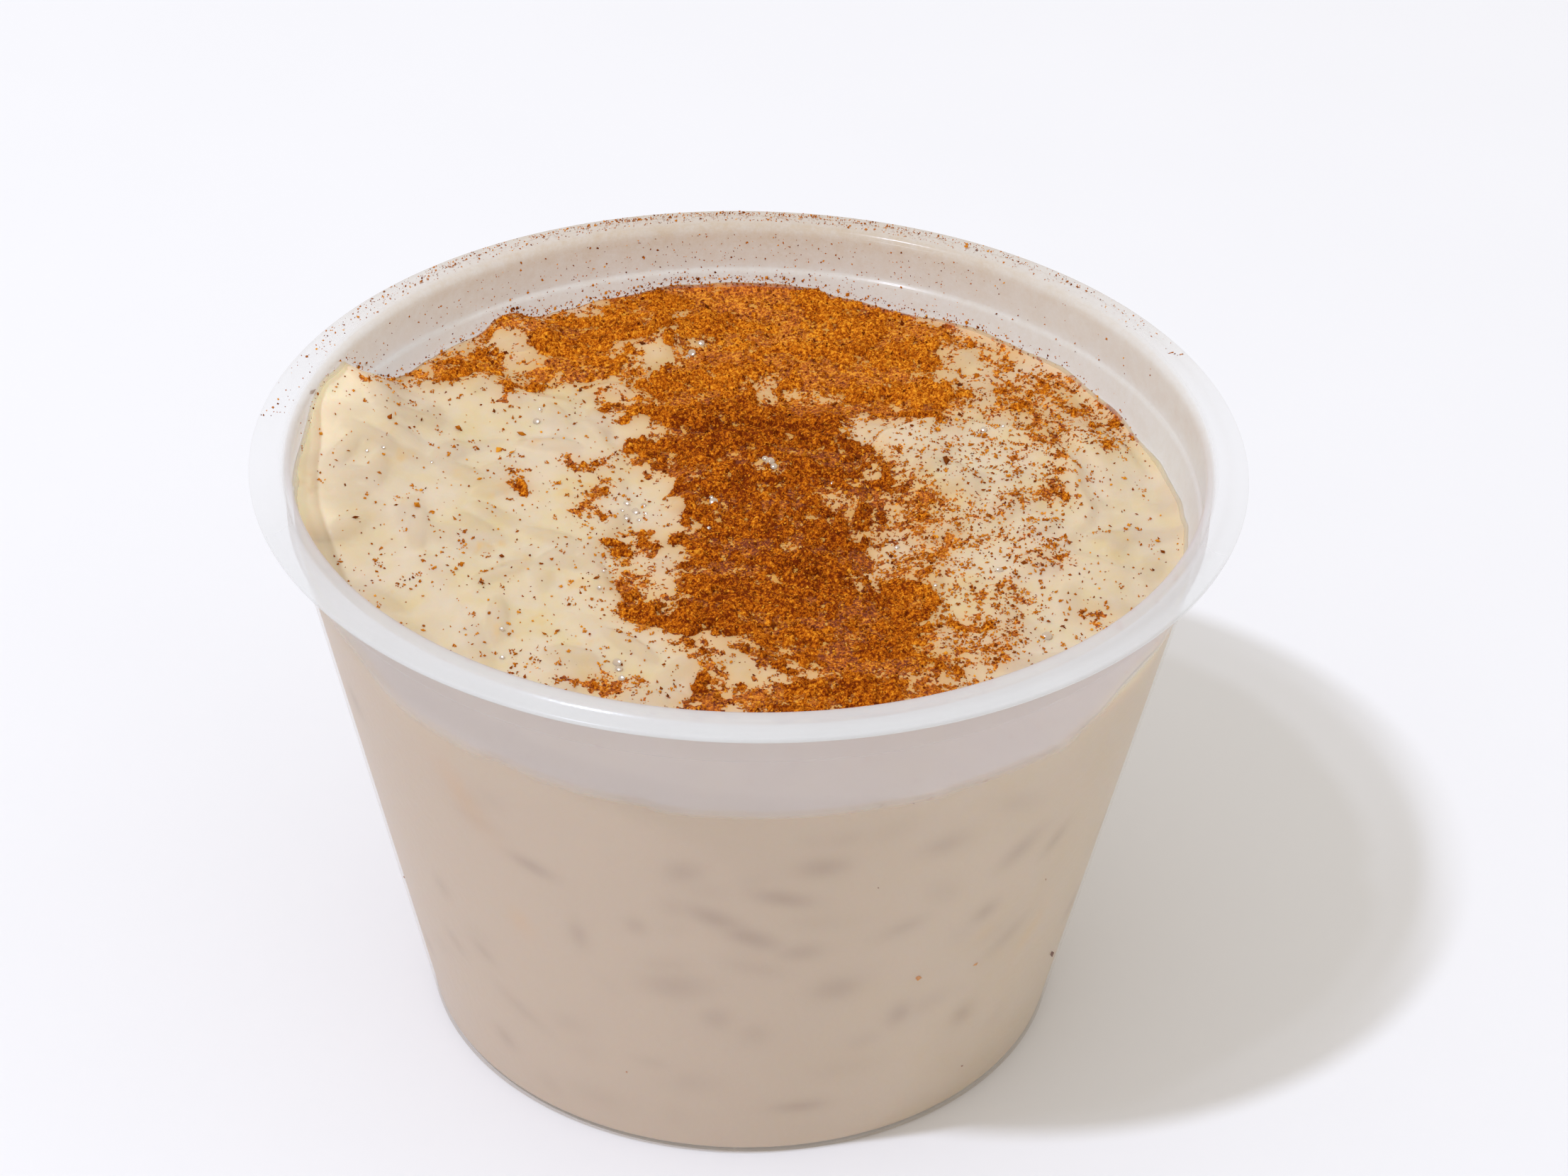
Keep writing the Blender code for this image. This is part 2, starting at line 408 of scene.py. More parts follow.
# %% Map the cinnamon
# centre x, y, radius x, y, turn, strength
DUSTED = (
    (-14.0, 25.5, 6.3, 3.4, 15.0, 1.0),
    (-13.5, 21.3, 4.6, 2.2, 0.0, 0.95),
    (-3.5, 31.6, 9.5, 3.3, 3.0, 1.0),
    (2.5, 26.0, 11.5, 7.0, 0.0, 1.0),
    (9.7, 25.0, 5.8, 4.8, -10.0, 1.0),
    (-1.0, 20.5, 8.5, 3.8, 0.0, 0.95),
    (9.0, 19.3, 7.0, 3.4, -8.0, 0.9),
    (-22.7, 21.8, 2.2, 3.2, -35.0, 0.72),
    (-20.5, 26.5, 2.8, 1.0, 40.0, 0.8),
    (-24.3, 19.7, 3.6, 0.9, 8.0, 0.6),
    (-28.7, 18.2, 1.5, 1.0, 0.0, 0.45),
    (-19.0, 18.3, 1.7, 1.3, 0.0, 0.95),
    (19.5, 22.0, 5.0, 3.6, -25.0, 0.31),
    (24.0, 18.3, 4.5, 2.4, -35.0, 0.28),
    (28.0, 14.3, 1.3, 3.2, 25.0, 0.42),
    (17.0, 27.0, 3.2, 2.0, -20.0, 0.34),
    (21.5, 25.0, 3.5, 1.4, -40.0, 0.30),
    (-2.5, 15.0, 6.2, 4.0, 0.0, 1.0),
    (-7.5, 16.6, 4.6, 2.0, 0.0, 0.9),
    (0.5, 10.5, 8.2, 5.0, 0.0, 1.0),
    (-6.0, 10.0, 4.0, 2.6, 25.0, 0.9),
    (0.7, 3.5, 6.3, 6.6, 0.0, 1.0),
    (2.2, -3.0, 7.3, 6.0, 0.0, 1.0),
    (4.0, -9.0, 9.0, 5.0, 0.0, 1.0),
    (10.5, -9.5, 4.1, 5.2, 0.0, 0.90),
    (6.2, -13.0, 6.8, 2.8, 0.0, 0.95),
    (8.0, -17.0, 4.5, 2.6, 10.0, 0.66),
    (3.0, -17.3, 3.0, 2.6, 0.0, 0.45),
    (-2.3, -17.5, 1.3, 2.5, 0.0, 0.85),
    (0.0, -20.3, 5.5, 0.9, 0.0, 0.8),
    (-3.6, -14.3, 1.2, 0.9, 0.0, 0.62),
    (-8.3, -7.6, 1.1, 3.4, 28.0, 0.80),
    (-4.8, -11.3, 4.2, 1.0, -8.0, 0.88),
    (-8.9, -2.4, 2.2, 1.5, 25.0, 1.0),
    (-17.6, 6.2, 1.2, 0.9, -30.0, 1.0),
    (-11.5, 4.0, 1.2, 2.0, 10.0, 0.80),
    (-12.5, 8.6, 3.0, 1.0, 28.0, 0.30),
    (-13.2, -17.2, 1.9, 0.8, -20.0, 0.6),
    (-9.6, -18.3, 2.2, 0.7, -15.0, 0.6),
    (13.0, 4.0, 3.6, 2.0, 10.0, 0.42),
    (5.2, 15.4, 3.2, 2.5, 0.0, 0.90),
    (11.0, 7.5, 3.2, 3.2, 0.0, 0.25),
    (21.0, 5.5, 4.0, 1.5, 20.0, 0.32),
    (24.0, 8.0, 1.0, 3.8, 10.0, 0.46),
    (23.0, -1.5, 1.2, 1.8, 20.0, 0.34),
    (18.0, -12.5, 2.7, 1.5, -15.0, 0.27),
    (15.0, -15.3, 3.6, 1.2, 15.0, 0.44),
    (15.8, -11.0, 1.0, 1.2, 0.0, 0.60),
    (25.5, -9.0, 1.6, 0.8, -30.0, 0.55),
    (13.0, -2.5, 3.2, 2.4, 0.0, 0.24),
    (15.5, -5.5, 3.6, 1.5, 0.0, 0.26),
    (20.2, -6.5, 0.8, 4.0, 0.0, 0.30),
    (14.0, 0.8, 6.0, 2.6, 0.0, 0.16),
    (19.0, 11.5, 4.2, 1.8, -10.0, 0.20),
    (18.0, -9.0, 2.5, 3.0, 0.0, 0.17),
    (-7.2, -7.0, 2.6, 4.6, 10.0, 0.40),
    (9.5, 17.0, 5.0, 2.0, 0.0, 0.50),
    (17.0, 17.3, 7.0, 2.2, 0.0, 0.38),
    (23.5, 15.8, 4.5, 1.8, -20.0, 0.22),
    (12.0, 10.5, 4.5, 4.0, 0.0, 0.14),
    (12.0, -1.0, 4.0, 4.0, 0.0, 0.12),
    (17.5, 2.0, 6.0, 6.0, 0.0, 0.12),
    (22.5, 11.0, 2.6, 5.0, 15.0, 0.18),
    (16.5, -13.0, 4.0, 3.0, 10.0, 0.14),
    (10.0, -15.5, 5.0, 2.6, 10.0, 0.50),
    (4.5, -20.2, 8.0, 2.1, 0.0, 0.72),
    (11.0, -19.5, 7.0, 2.1, 13.0, 0.66),
    (7.5, 4.5, 3.0, 5.0, 0.0, 0.75),
)
BARE = (
    (-8.3, 23.6, 0.9, 3.1, -14.0, 0.9),
    (-6.5, 28.2, 0.8, 1.7, -15.0, 0.9),
    (-5.1, 24.0, 0.7, 1.6, -25.0, 0.6),
    (-18.7, 24.0, 1.1, 2.6, 22.0, 1.0),
    (-17.0, 23.2, 1.9, 0.8, -35.0, 0.9),
    (1.5, 18.8, 1.4, 1.2, -40.0, 0.85),
    (5.5, 18.2, 1.7, 0.9, -20.0, 0.75),
    (-3.6, 16.3, 1.3, 0.7, 55.0, 0.8),
    (-8.7, 18.2, 1.9, 0.7, -15.0, 0.85),
    (-8.3, 12.3, 1.2, 0.7, 0.0, 0.8),
    (-8.7, 4.8, 0.95, 4.4, 8.0, 1.0),
    (-7.7, 1.4, 2.3, 1.5, 0.0, 1.0),
    (6.6, 5.8, 0.9, 1.6, 20.0, 0.5),
    (6.6, 2.4, 0.5, 0.9, 0.0, 0.4),
    (-0.6, -17.0, 0.8, 1.8, 8.0, 0.95),
    (4.2, -16.0, 1.1, 0.6, 0.0, 0.6),
    (-7.0, -3.7, 1.4, 0.9, 15.0, 0.8),
    (-6.0, -7.3, 0.9, 1.7, 10.0, 0.65),
    (17.3, 22.8, 0.9, 1.6, 20.0, 0.85),
    (18.7, -3.0, 1.5, 1.5, 0.0, 0.95),
    (10.2, -1.2, 1.2, 0.9, 0.0, 0.6),
    (9.6, -4.6, 0.9, 0.8, 0.0, 0.6),
    (9.1, 2.2, 0.7, 0.9, 0.0, 0.6),
    (19.0, 8.3, 3.0, 1.6, 10.0, 0.6),
    (1.5, 9.0, 0.8, 0.8, 0.0, 0.9),
)
SOFT_EDGE = 1.5
TEARS = 1.5             # how far the 2.6 mm noise shifts an edge
NIBBLES = 1.6           # how far the 0.9 mm noise does

ragged_x = GRID_X + ripples((TEARS, 2.6, 21.0), (NIBBLES, 0.9, 22.0))
ragged_y = PLAN_Y + ripples((TEARS, 2.6, 23.0), (NIBBLES, 0.9, 24.0))


def patch(place, strength):
    """One oval patch with a soft ragged edge."""
    inwards = (1.0 - oval(ragged_x, ragged_y, *place)) * min(place[2:4])
    return strength * smooth(0.5 + inwards / SOFT_EDGE)


uncovered = np.ones_like(SURFACE)
for *place, strength in DUSTED:
    uncovered *= 1.0 - patch(place, strength)
COVER = 1.0 - uncovered
for *place, strength in BARE:
    COVER *= 1.0 - patch(place, strength)
flecks = ripples((0.45, 1.6, 25.0), (0.50, 0.8, 26.0), (0.60, 0.45, 27.0))
COVER = np.clip(COVER + flecks * smooth(COVER / 0.3), 0.0, 1.0)
inside = np.hypot(GRID_X, GRID_Y) < half_mouth
print(f"{np.mean(COVER[inside] > 0.55):.0%} of the top is covered")

# %% [markdown]
# ## The plastic of the cup
# Portion cups are thermoformed: a sheet of polypropylene is heated and drawn into a
# mould. Left in its natural colour the plastic is milky and slightly glossy. Light
# goes a little way in and comes out scattered, so a dry wall looks like frosted pale
# grey glass, but where food touches the wall its colour shows straight through.
#
# Rough glass could do both, at the cost of a noisy and slow picture. Here a mix does it:
# a glossy milky surface, light that comes through the sheet from behind (Translucent),
# and a clear share (Transparent). The share is a number on each point of the cup: large
# where the wall is wet and at the sides of the thin flange, which the floor shines
# through, less in the back wall, and small at the front. There, and a little on the wet left,
# a second number paints a warm glow into the colour, standing in for the light that the
# pudding close behind lends to the plastic. Cinnamon clings to the cup at the back, and painted shade
# darkens the foot.

# %% Polypropylene
def make_polypropylene():
    """Milky thermoformed polypropylene: satin skin, light from behind, clearer where wet."""
    plastic = new_material("polypropylene_thermoformed")
    place = add(plastic, "TexCoord").outputs["Object"]
    marks = {key: add(plastic, "Attribute", {"attribute_name": key}).outputs["Fac"]
             for key in ("clearness", "painted_glow", "dust_and_shade")}

    # the sheet thins and thickens over about 8 mm as it is drawn
    cloud = add(plastic, "TexNoise", {"Scale": 125.0, "Detail": 2.0}, {"Vector": place})
    # dust clings in smears about 1.5 mm long, and the painted shade at the foot is smeared alike
    smear = add(plastic, "TexNoise", {"Scale": 650.0, "Detail": 5.0, "Roughness": 0.75}, {"Vector": place})
    smeared = add(plastic, "MapRange", {"From Min": -0.2, "From Max": 1.0}, {"Value": smear.outputs[0]})
    dusted_and_shaded = add(plastic, "Math", {"operation": "MULTIPLY", "use_clamp": True},
                 {0: marks["dust_and_shade"], 1: smeared.outputs[0]})
    tint = add(plastic, "Mix", {"data_type": "RGBA", MIX_A: linear("#EEEFEE"), MIX_B: linear("#E7E8E7")},
               {0: cloud.outputs[0]})
    # painted light: a warm glow in the colour, for light that the pudding behind lends to the plastic
    painted_warmth = add(plastic, "Mix", {"data_type": "RGBA", MIX_B: linear("#DFD8D7")},
                 {0: marks["painted_glow"], MIX_A: tint.outputs[MIX_OUT]})
    # the dust colour, which also paints shade at the foot
    skin = add(plastic, "Mix", {"data_type": "RGBA", MIX_B: linear("#C59710")},
               {0: dusted_and_shaded.outputs[0], MIX_A: painted_warmth.outputs[MIX_OUT]})

    # the mould leaves a very fine texture, drawn here at 0.4 mm so that it shows
    grain = add(plastic, "TexNoise", {"Scale": 2500.0, "Detail": 2.0}, {"Vector": place})
    relief = add(plastic, "Bump", {"Strength": 0.08, "Distance": 0.0001}, {"Height": grain.outputs[0]})

    surface = add(plastic, "BsdfPrincipled", {"Roughness": 0.2, "IOR": 1.49},
                  {"Base Color": skin.outputs[MIX_OUT], "Normal": relief.outputs[0]})
    through = add(plastic, "BsdfTranslucent", {}, {"Color": skin.outputs[MIX_OUT]})
    milky = add(plastic, "MixShader", {0: 0.38}, {1: surface.outputs[0], 2: through.outputs[0]})
    clear = add(plastic, "BsdfTransparent")
    sheet = add(plastic, "MixShader", {}, {0: marks["clearness"], 1: milky.outputs[0], 2: clear.outputs[0]})
    add(plastic, "OutputMaterial", {}, {"Surface": sheet.outputs[0]})
    return plastic


polypropylene = make_polypropylene()

# %% [markdown]
# ## The cup
# A thermoformed cup is a turned shape, so half of its section is drawn once and a Screw
# modifier sweeps it round. The wall has real thickness, with a flat foot, a small ledge
# for stacking, a straight neck and a rolled flange with a raised bead. Every corner of
# the section is cut back and bridged by a curve, because drawn sheet has no sharp edge.

# %% Draw the section
TURNS = 288
LONGEST_STEP = 0.45     # the marks on the cup need points as close as this
FLOOR_STEP = 1.8        # the base carries no marks, so it needs fewer points

neck_outside = NECK_RADIUS + WALL
brim_top = CUP_HEIGHT - 0.4     # outside the bead the flange is a flat brim
brim_bottom = brim_top - 0.4
# radius, height, and how far the corner is cut back
SECTION = (
    (0.0, FLOOR, 0.0),
    (float(wall_inside(FLOOR)), FLOOR, 0.5),
    (float(wall_inside(LEDGE)), LEDGE, 0.2),
    (NECK_RADIUS, LEDGE + LEDGE_RISE, 0.2),
    (NECK_RADIUS, CUP_HEIGHT - 0.15, 0.75),
    (35.15, CUP_HEIGHT, 0.3),
    (35.45, CUP_HEIGHT, 0.3),
    (35.95, brim_top, 0.3),
    (RIM_RADIUS, brim_top, 0.19),
    (RIM_RADIUS, brim_bottom, 0.19),
    (35.9, brim_bottom, 0.3),
    (neck_outside + 0.3, brim_bottom, 0.3),
    (neck_outside, brim_bottom - 0.4, 0.3),
    (neck_outside, LEDGE, 0.18),
    (wall_outside(LEDGE - LEDGE_RISE), LEDGE - LEDGE_RISE, 0.2),
    (BASE_RADIUS, 0.0, 0.3),
    (0.0, 0.0, 0.0),
)


def rounded(section, steps=5):
    """Cut each corner back along both of its sides and bridge it by a curve."""
    points = []
    for index, (r, z, cut) in enumerate(section):
        corner = Vector((r, z))
        if cut == 0.0:
            points.append(corner)
            continue
        before = Vector(section[index - 1][:2]) - corner
        after = Vector(section[index + 1][:2]) - corner
        start = corner + before.normalized() * min(cut, before.length * 0.49)
        end = corner + after.normalized() * min(cut, after.length * 0.49)
        for i in range(steps + 1):
            t = i / steps
            points.append(start * (1 - t) ** 2 + corner * 2 * t * (1 - t) + end * t**2)
    return points


def divided(points):
    """Add points along the long runs, so that no step is too long."""
    result = [points[0]]
    for start, end in zip(points, points[1:]):
        longest = LONGEST_STEP if max(start.y, end.y) > FLOOR + 0.1 else FLOOR_STEP
        pieces = max(1, math.ceil((end - start).length / longest))
        result += [start.lerp(end, i / pieces) for i in range(1, pieces + 1)]
    return result


section_points = divided(rounded(SECTION))
print(f"{len(section_points)} points in the section")

# %% Turn the section
def turned(name, points, turns):
    """Sweep a half section round Z with a Screw modifier, and return its points and faces."""
    line = bpy.data.meshes.new(name + "_section")
    vertices = [(p.x * MM, 0.0, p.y * MM) for p in points]
    line.from_pydata(vertices, [(i, i + 1) for i in range(len(points) - 1)], [])
    blank = new_object(name + "_blank", line)
    screw = blank.modifiers.new("Turn", "SCREW")
    screw.steps = screw.render_steps = turns
    screw.use_merge_vertices = True
    screw.merge_threshold = 0.000005
    bpy.context.view_layer.update()
    swept = bpy.data.meshes.new_from_object(blank.evaluated_get(bpy.context.evaluated_depsgraph_get()))
    bpy.data.objects.remove(blank, do_unlink=True)
    points = np.empty(len(swept.vertices) * 3)
    swept.vertices.foreach_get("co", points)
    faces = [list(face.vertices) for face in swept.polygons]
    return points.reshape(-1, 3) / MM, faces


cup_points, cup_faces = turned("cup", section_points, TURNS)

# %% [markdown]
# ## How high the pudding stands against the wall
# Where pudding was pushed against the wall it clings and climbs: almost to the rim at
# the back left, and less at the front left and on the right. The height of the pudding
# at the wall, for any direction round the cup, also tells the plastic where it is wet.
# The radius and the height there depend on each other, so a few rounds of trying settle
# both.

# %% Follow the contact line
REACH = 0.3                     # the pudding reaches this far into the wall, so no gap shows
CLIMB_LIMIT = CUP_HEIGHT - 0.9

# direction, half width in degrees, the share of it that slopes, rise, and how far it reaches
CLIMBS = (
    (171.0, 21.0, 0.4, 3.0, 3.4),
    (203.0, 22.0, 0.6, 2.1, 2.0),
    (338.0, 25.0, 0.6, 2.4, 0.5),
    (48.0, 30.0, 0.6, 1.0, 1.5),
    (88.0, 26.0, 0.8, 0.75, 0.9),
    (8.0, 26.0, 0.7, 1.0, 1.0),
)
round_angles = np.linspace(0.0, math.tau, 1441)
round_x, round_y = half_mouth * np.cos(round_angles), half_mouth * np.sin(round_angles)
# the climb is uneven round the cup, and the line itself wavers
swells = 1.0 + 0.5 * ripple(round_x, round_y, 5.0, 32.0)
wavelets = 0.25 * ripple(round_x, round_y, 3.0, 33.0)


def at_wall(values, angle):
    """Read values that are kept round the wall, such as these swells, at any direction."""
    return np.interp(angle % math.tau, round_angles, values)


def smear_rise(angle, from_wall):
    """How far pudding climbs the wall at a direction and a distance from the wall."""
    degrees = np.degrees(angle % math.tau)
    total = np.zeros_like(degrees)
    for bearing, half_width, slope, rise, far in CLIMBS:
        turned_by = np.abs((degrees - bearing + 180.0) % 360.0 - 180.0)
        share = smooth((half_width - turned_by) / (slope * half_width))
        total = np.maximum(total, rise * share * np.exp(-from_wall / far))
    return total * at_wall(swells, angle) + at_wall(wavelets, angle) * np.exp(-from_wall / 0.5)


round_radii = np.full_like(round_angles, half_mouth)
for _ in range(12):
    round_heights = sample(SURFACE, round_radii * np.cos(round_angles), round_radii * np.sin(round_angles))
    round_heights = np.minimum(round_heights + smear_rise(round_angles, 0.0), CLIMB_LIMIT)
    round_radii = 0.5 * round_radii + 0.5 * wall_inside(round_heights)
print(f"contact line {round_heights.min():.1f} to {round_heights.max():.1f} mm high")

# %% [markdown]
# The skin of the pudding is the surface field plus the climb, plus a thin wet edge that
# creeps a little further up the plastic. Everything that lies on it asks these helpers.

# %% Find the skin
MENISCUS = 0.22         # height of the wet edge


def to_wall(x, y):
    """How far places on the pudding lie from the wall."""
    return at_wall(round_radii, np.arctan2(y, x)) - np.hypot(x, y)


def skin_height(x, y):
    """Height of the pudding's skin at any places."""
    from_wall = np.maximum(to_wall(x, y) + REACH, 0.0)
    level = sample(SURFACE, x, y) + smear_rise(np.arctan2(y, x), from_wall)
    level += MENISCUS * np.exp(-from_wall / 0.4) * (1.0 - smooth((level - HIGHEST) / 0.5))
    return np.minimum(level, CLIMB_LIMIT)


# %% Mark wet and clear places, and the painted warm glow
WET_EDGE = 0.4          # how softly the wet part ends, in mm
BEAD_FROM = 34.2        # inner radius of the flange's top
CLEAR_WET = 0.78
CLEAR_FLANGE = 0.86
CLEAR_BACK = 0.42
CLEAR_FRONT = 0.3
height = cup_points[:, 2]
cup_radius = np.hypot(cup_points[:, 0], cup_points[:, 1])
cup_angle = np.arctan2(cup_points[:, 1], cup_points[:, 0])
to_right, to_back = np.cos(cup_angle), np.sin(cup_angle)

contact = at_wall(round_heights, cup_angle)
soft_edge = WET_EDGE * (1.0 + 3.0 * np.abs(to_right))
wet = smooth((contact - height) / soft_edge + 0.5)
front = smooth(-to_back * 1.5 + 0.5)
on_rim = smooth((height - LEDGE - 2.6) / 0.8) * smooth((cup_radius - BEAD_FROM) / 0.5)
sideways = np.abs(to_right) ** np.where(to_back < 0.0, 5.0, 3.0)
clearness = CLEAR_BACK + (CLEAR_FRONT - CLEAR_BACK) * front
clearness += (CLEAR_FLANGE - clearness) * on_rim * sideways
clearness += (CLEAR_WET - clearness) * wet
# painted light: a warm glow on the dry front wall, and some on the wet left side, for light from the pudding
# behind
painted_glow = front * (1.0 - on_rim) * (1.0 - wet)
painted_glow += 0.5 * wet * np.clip(-to_right, 0.0, 1.0) ** 2
print(f"{np.mean(wet > 0.5):.0%} of the cup's points are wet")

# %% Mark the dust and the painted shade
back = np.clip(np.sin(cup_angle - math.radians(5.0)), 0.0, 1.0)
back_half = smooth((to_back + 0.35) / 0.6)
# thickest on the neck, and none at the sides of the flange
above_ledge = smooth((height - LEDGE) / 0.8) * (0.8 + 0.4 * smooth((height - LEDGE - 1.0) / 3.0))
side_rim = on_rim * (1.0 - smooth((to_back - 0.15) / 0.5))
dust_and_shade = back_half * above_ledge * (1.0 - side_rim) * (1.0 - 0.3 * on_rim) * (0.34 + 0.44 * back**2)
# the inner wall, where the back left got less of it
inner_side = (cup_radius < wall_outside(np.minimum(height, LEDGE)) - 0.1) & (height > 38.0)
cleaner = smooth((-to_right - 0.7) / 0.2)
dust_and_shade = np.maximum(dust_and_shade, back_half * inner_side * (0.36 + 0.24 * back) * (1.0 - 0.6 * cleaner))
# painted shade at the foot, where the cup stands on the floor
foot_shade = smooth((0.6 - height) / 0.5) * (cup_radius > BASE_RADIUS - 1.0)
dust_and_shade = np.maximum(dust_and_shade, 0.7 * foot_shade)

# %% Make the cup
cup_marks = {"clearness": clearness, "painted_glow": painted_glow, "dust_and_shade": dust_and_shade}
cup_faces = np.array(cup_faces, dtype=object)
cup_shell = make_piece("cup_shell", cup_points, cup_faces, polypropylene, cup_marks)
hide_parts("cup")

# %% [markdown]
# ## The pudding itself
# Milk pudding is thick milk full of fat and starch, with grains of rice in it. It is
# cream-coloured and wet, and light enters it and comes out again a millimetre or two
# away, which is what subsurface scattering does. Its colour isn't even: rice that shows
# through is greyer, thicker cream is yellower, and specks of butterfat are deep yellow.
# Pressed against plastic it looks greyer, and painted shade darkens it further, and where
# it climbs the wall as a thin film, painted light makes it paler, standing in for light that
# also comes through from behind. Around the cinnamon the wet surface is stained orange, and the
# powder that sank in shows as grains, which the cover field and noise at the size of a grain draw together.

# %% Bark colours
BARK_DARK = "#6E2804"
BARK_MIDDLE = "#C2660C"
BARK_LIGHT = "#F4A42C"


def bark_colour(spice, tone, dark=BARK_DARK, middle=BARK_MIDDLE, light=BARK_LIGHT):
    """Colour of milled bark for a tone between 0, dark outer bark, and 1, light inner bark."""
    lower_half = add(spice, "MapRange", {"From Max": 0.5}, {"Value": tone})
    upper_half = add(spice, "MapRange", {"From Min": 0.5}, {"Value": tone})
    darker = add(spice, "Mix", {"data_type": "RGBA", MIX_A: linear(dark), MIX_B: linear(middle)},
                 {0: lower_half.outputs[0]})
    bark = add(spice, "Mix", {"data_type": "RGBA", MIX_B: linear(light)},
               {0: upper_half.outputs[0], MIX_A: darker.outputs[MIX_OUT]})
    return bark.outputs[MIX_OUT]


def bark_tone(spice, place, painted_shade):
    """Tone of thick powder: grains of 0.25 mm, clods of 0.7 mm and heaps of 3 mm, darker under painted
    shade.
    """
    speckle = add(spice, "TexNoise", {"Scale": 4200.0, "Detail": 2.0, "Roughness": 0.7}, {"Vector": place})
    clods = add(spice, "TexNoise", {"Scale": 1400.0, "Detail": 2.0}, {"Vector": place})
    heaps = add(spice, "TexNoise", {"Scale": 330.0, "Detail": 3.0}, {"Vector": place})
    total = speckle.outputs[0]
    # painted shade darkens the tone
    for share, source in ((0.35, clods.outputs[0]), (0.2, heaps.outputs[0]), (-0.1, painted_shade)):
        total = add(spice, "Math", {"operation": "MULTIPLY_ADD", 1: share}, {0: source, 2: total}).outputs[0]
    tone = add(spice, "MapRange", {"From Min": 0.60, "From Max": 0.95}, {"Value": total})
    return tone.outputs[0]


# %% Milk pudding
def make_milk_pudding():
    """Thick sweet milk with rice: creamy, wet, slightly see-through, with spice sprinkled on it."""
    milk = new_material("milk_pudding_with_rice")
    place = add(milk, "TexCoord").outputs["Object"]
    marks = {key: add(milk, "Attribute", {"attribute_name": key}).outputs["Fac"]
             for key in ("painted_backlight", "pressed_and_shaded", "grains", "butter", "stain", "powder", "painted_shade")}

    # cream and thinner milk in patches of about 5 mm and 1.5 mm
    broad = add(milk, "TexNoise", {"Scale": 200.0, "Detail": 3.0, "Roughness": 0.55, "Distortion": 0.4},
                {"Vector": place})
    broad_share = add(milk, "MapRange", {"From Min": 0.35, "From Max": 0.65}, {"Value": broad.outputs[0]})
    fine = add(milk, "TexNoise", {"Scale": 700.0, "Detail": 3.0, "Roughness": 0.6}, {"Vector": place})
    fine_share = add(milk, "MapRange", {"From Min": 0.4, "From Max": 0.75, "To Max": 0.6},
                     {"Value": fine.outputs[0]})
    cream = add(milk, "Mix", {"data_type": "RGBA", MIX_A: linear("#DDCBAE"), MIX_B: linear("#DAC597")},
                {0: broad_share.outputs[0]})
    mottled = add(milk, "Mix", {"data_type": "RGBA", MIX_B: linear("#D6C6B0")},
                  {0: fine_share.outputs[0], MIX_A: cream.outputs[MIX_OUT]})
    # painted light where thin and lit from behind, pressed on the wall with painted shade, over a rice
    # grain, with butterfat, stained
    tints = {"painted_backlight": "#FBEAC8", "pressed_and_shaded": "#C9B199", "grains": "#A2866F",
             "butter": "#DDAF58", "stain": "#D89632"}
    colour = mottled.outputs[MIX_OUT]
    for key, tint in tints.items():
        tinted = add(milk, "Mix", {"data_type": "RGBA", MIX_B: linear(tint)}, {0: marks[key], MIX_A: colour})
        colour = tinted.outputs[MIX_OUT]

    # sunk powder: grains of about 0.3 mm that gather in flecks of about 1 mm
    grain = add(milk, "TexNoise", {"Scale": 3000.0, "Detail": 1.0, "Roughness": 0.5}, {"Vector": place})
    fleck = add(milk, "TexNoise", {"Scale": 850.0, "Detail": 2.0}, {"Vector": place})
    total = marks["powder"]
    for share, pattern in ((3.4, grain), (0.6, fleck)):
        total = add(milk, "Math", {"operation": "MULTIPLY_ADD", 1: share},
                    {0: pattern.outputs[0], 2: total}).outputs[0]
    sunk = add(milk, "MapRange", {"From Min": 2.45, "From Max": 2.75}, {"Value": total})
    # sunk powder is darkened by painted shade, as on the bed
    bark = bark_colour(milk, bark_tone(milk, place, marks["painted_shade"]))
    dusted_and_shaded = add(milk, "Mix", {"data_type": "RGBA"}, {0: sunk.outputs[0], MIX_A: colour, MIX_B: bark})
    dullness = add(milk, "MapRange", {"To Min": 0.3, "To Max": 0.75}, {"Value": sunk.outputs[0]})

    # a skin with wrinkles about 0.6 mm apart
    skin = add(milk, "TexNoise", {"Scale": 1600.0, "Detail": 3.0}, {"Vector": place})
    relief = add(milk, "Bump", {"Strength": 0.35, "Distance": 0.0001}, {"Height": skin.outputs[0]})
    body = add(milk, "BsdfPrincipled",
               {"IOR": 1.36, "Subsurface Weight": 0.5,
                "Subsurface Radius": (1.0, 0.55, 0.28), "Subsurface Scale": 0.0014},
               {"Base Color": dusted_and_shaded.outputs[MIX_OUT], "Roughness": dullness.outputs[0],
                "Normal": relief.outputs[0]})
    add(milk, "OutputMaterial", {}, {"Surface": body.outputs[0]})
    return milk


milk_pudding = make_milk_pudding()

# %% [markdown]
# The mesh is a set of rings, like a target, so that its edge follows the round wall.
# The rings of the top take their height from the surface field. Further rings run down
# inside the wall of the cup and across its floor, so the pudding is one closed body.

# %% Shape the pudding
SPOKES = 440
TOP_RINGS = 140
SIDE_ROWS = 70
CORNER = 0.5            # round corner at the foot

angles = np.arange(SPOKES) * math.tau / SPOKES
edge_height = at_wall(round_heights, angles)
edge_radius = wall_inside(edge_height) + REACH

share = np.arange(1, TOP_RINGS + 1) / TOP_RINGS
share = share * (1.0 + 0.25 * (1.0 - share))
top_radius = share[:, None] * edge_radius[None, :]
top_x = top_radius * np.cos(angles)
top_y = top_radius * np.sin(angles)
top_z = skin_height(top_x, top_y)
top_z[-1] = edge_height

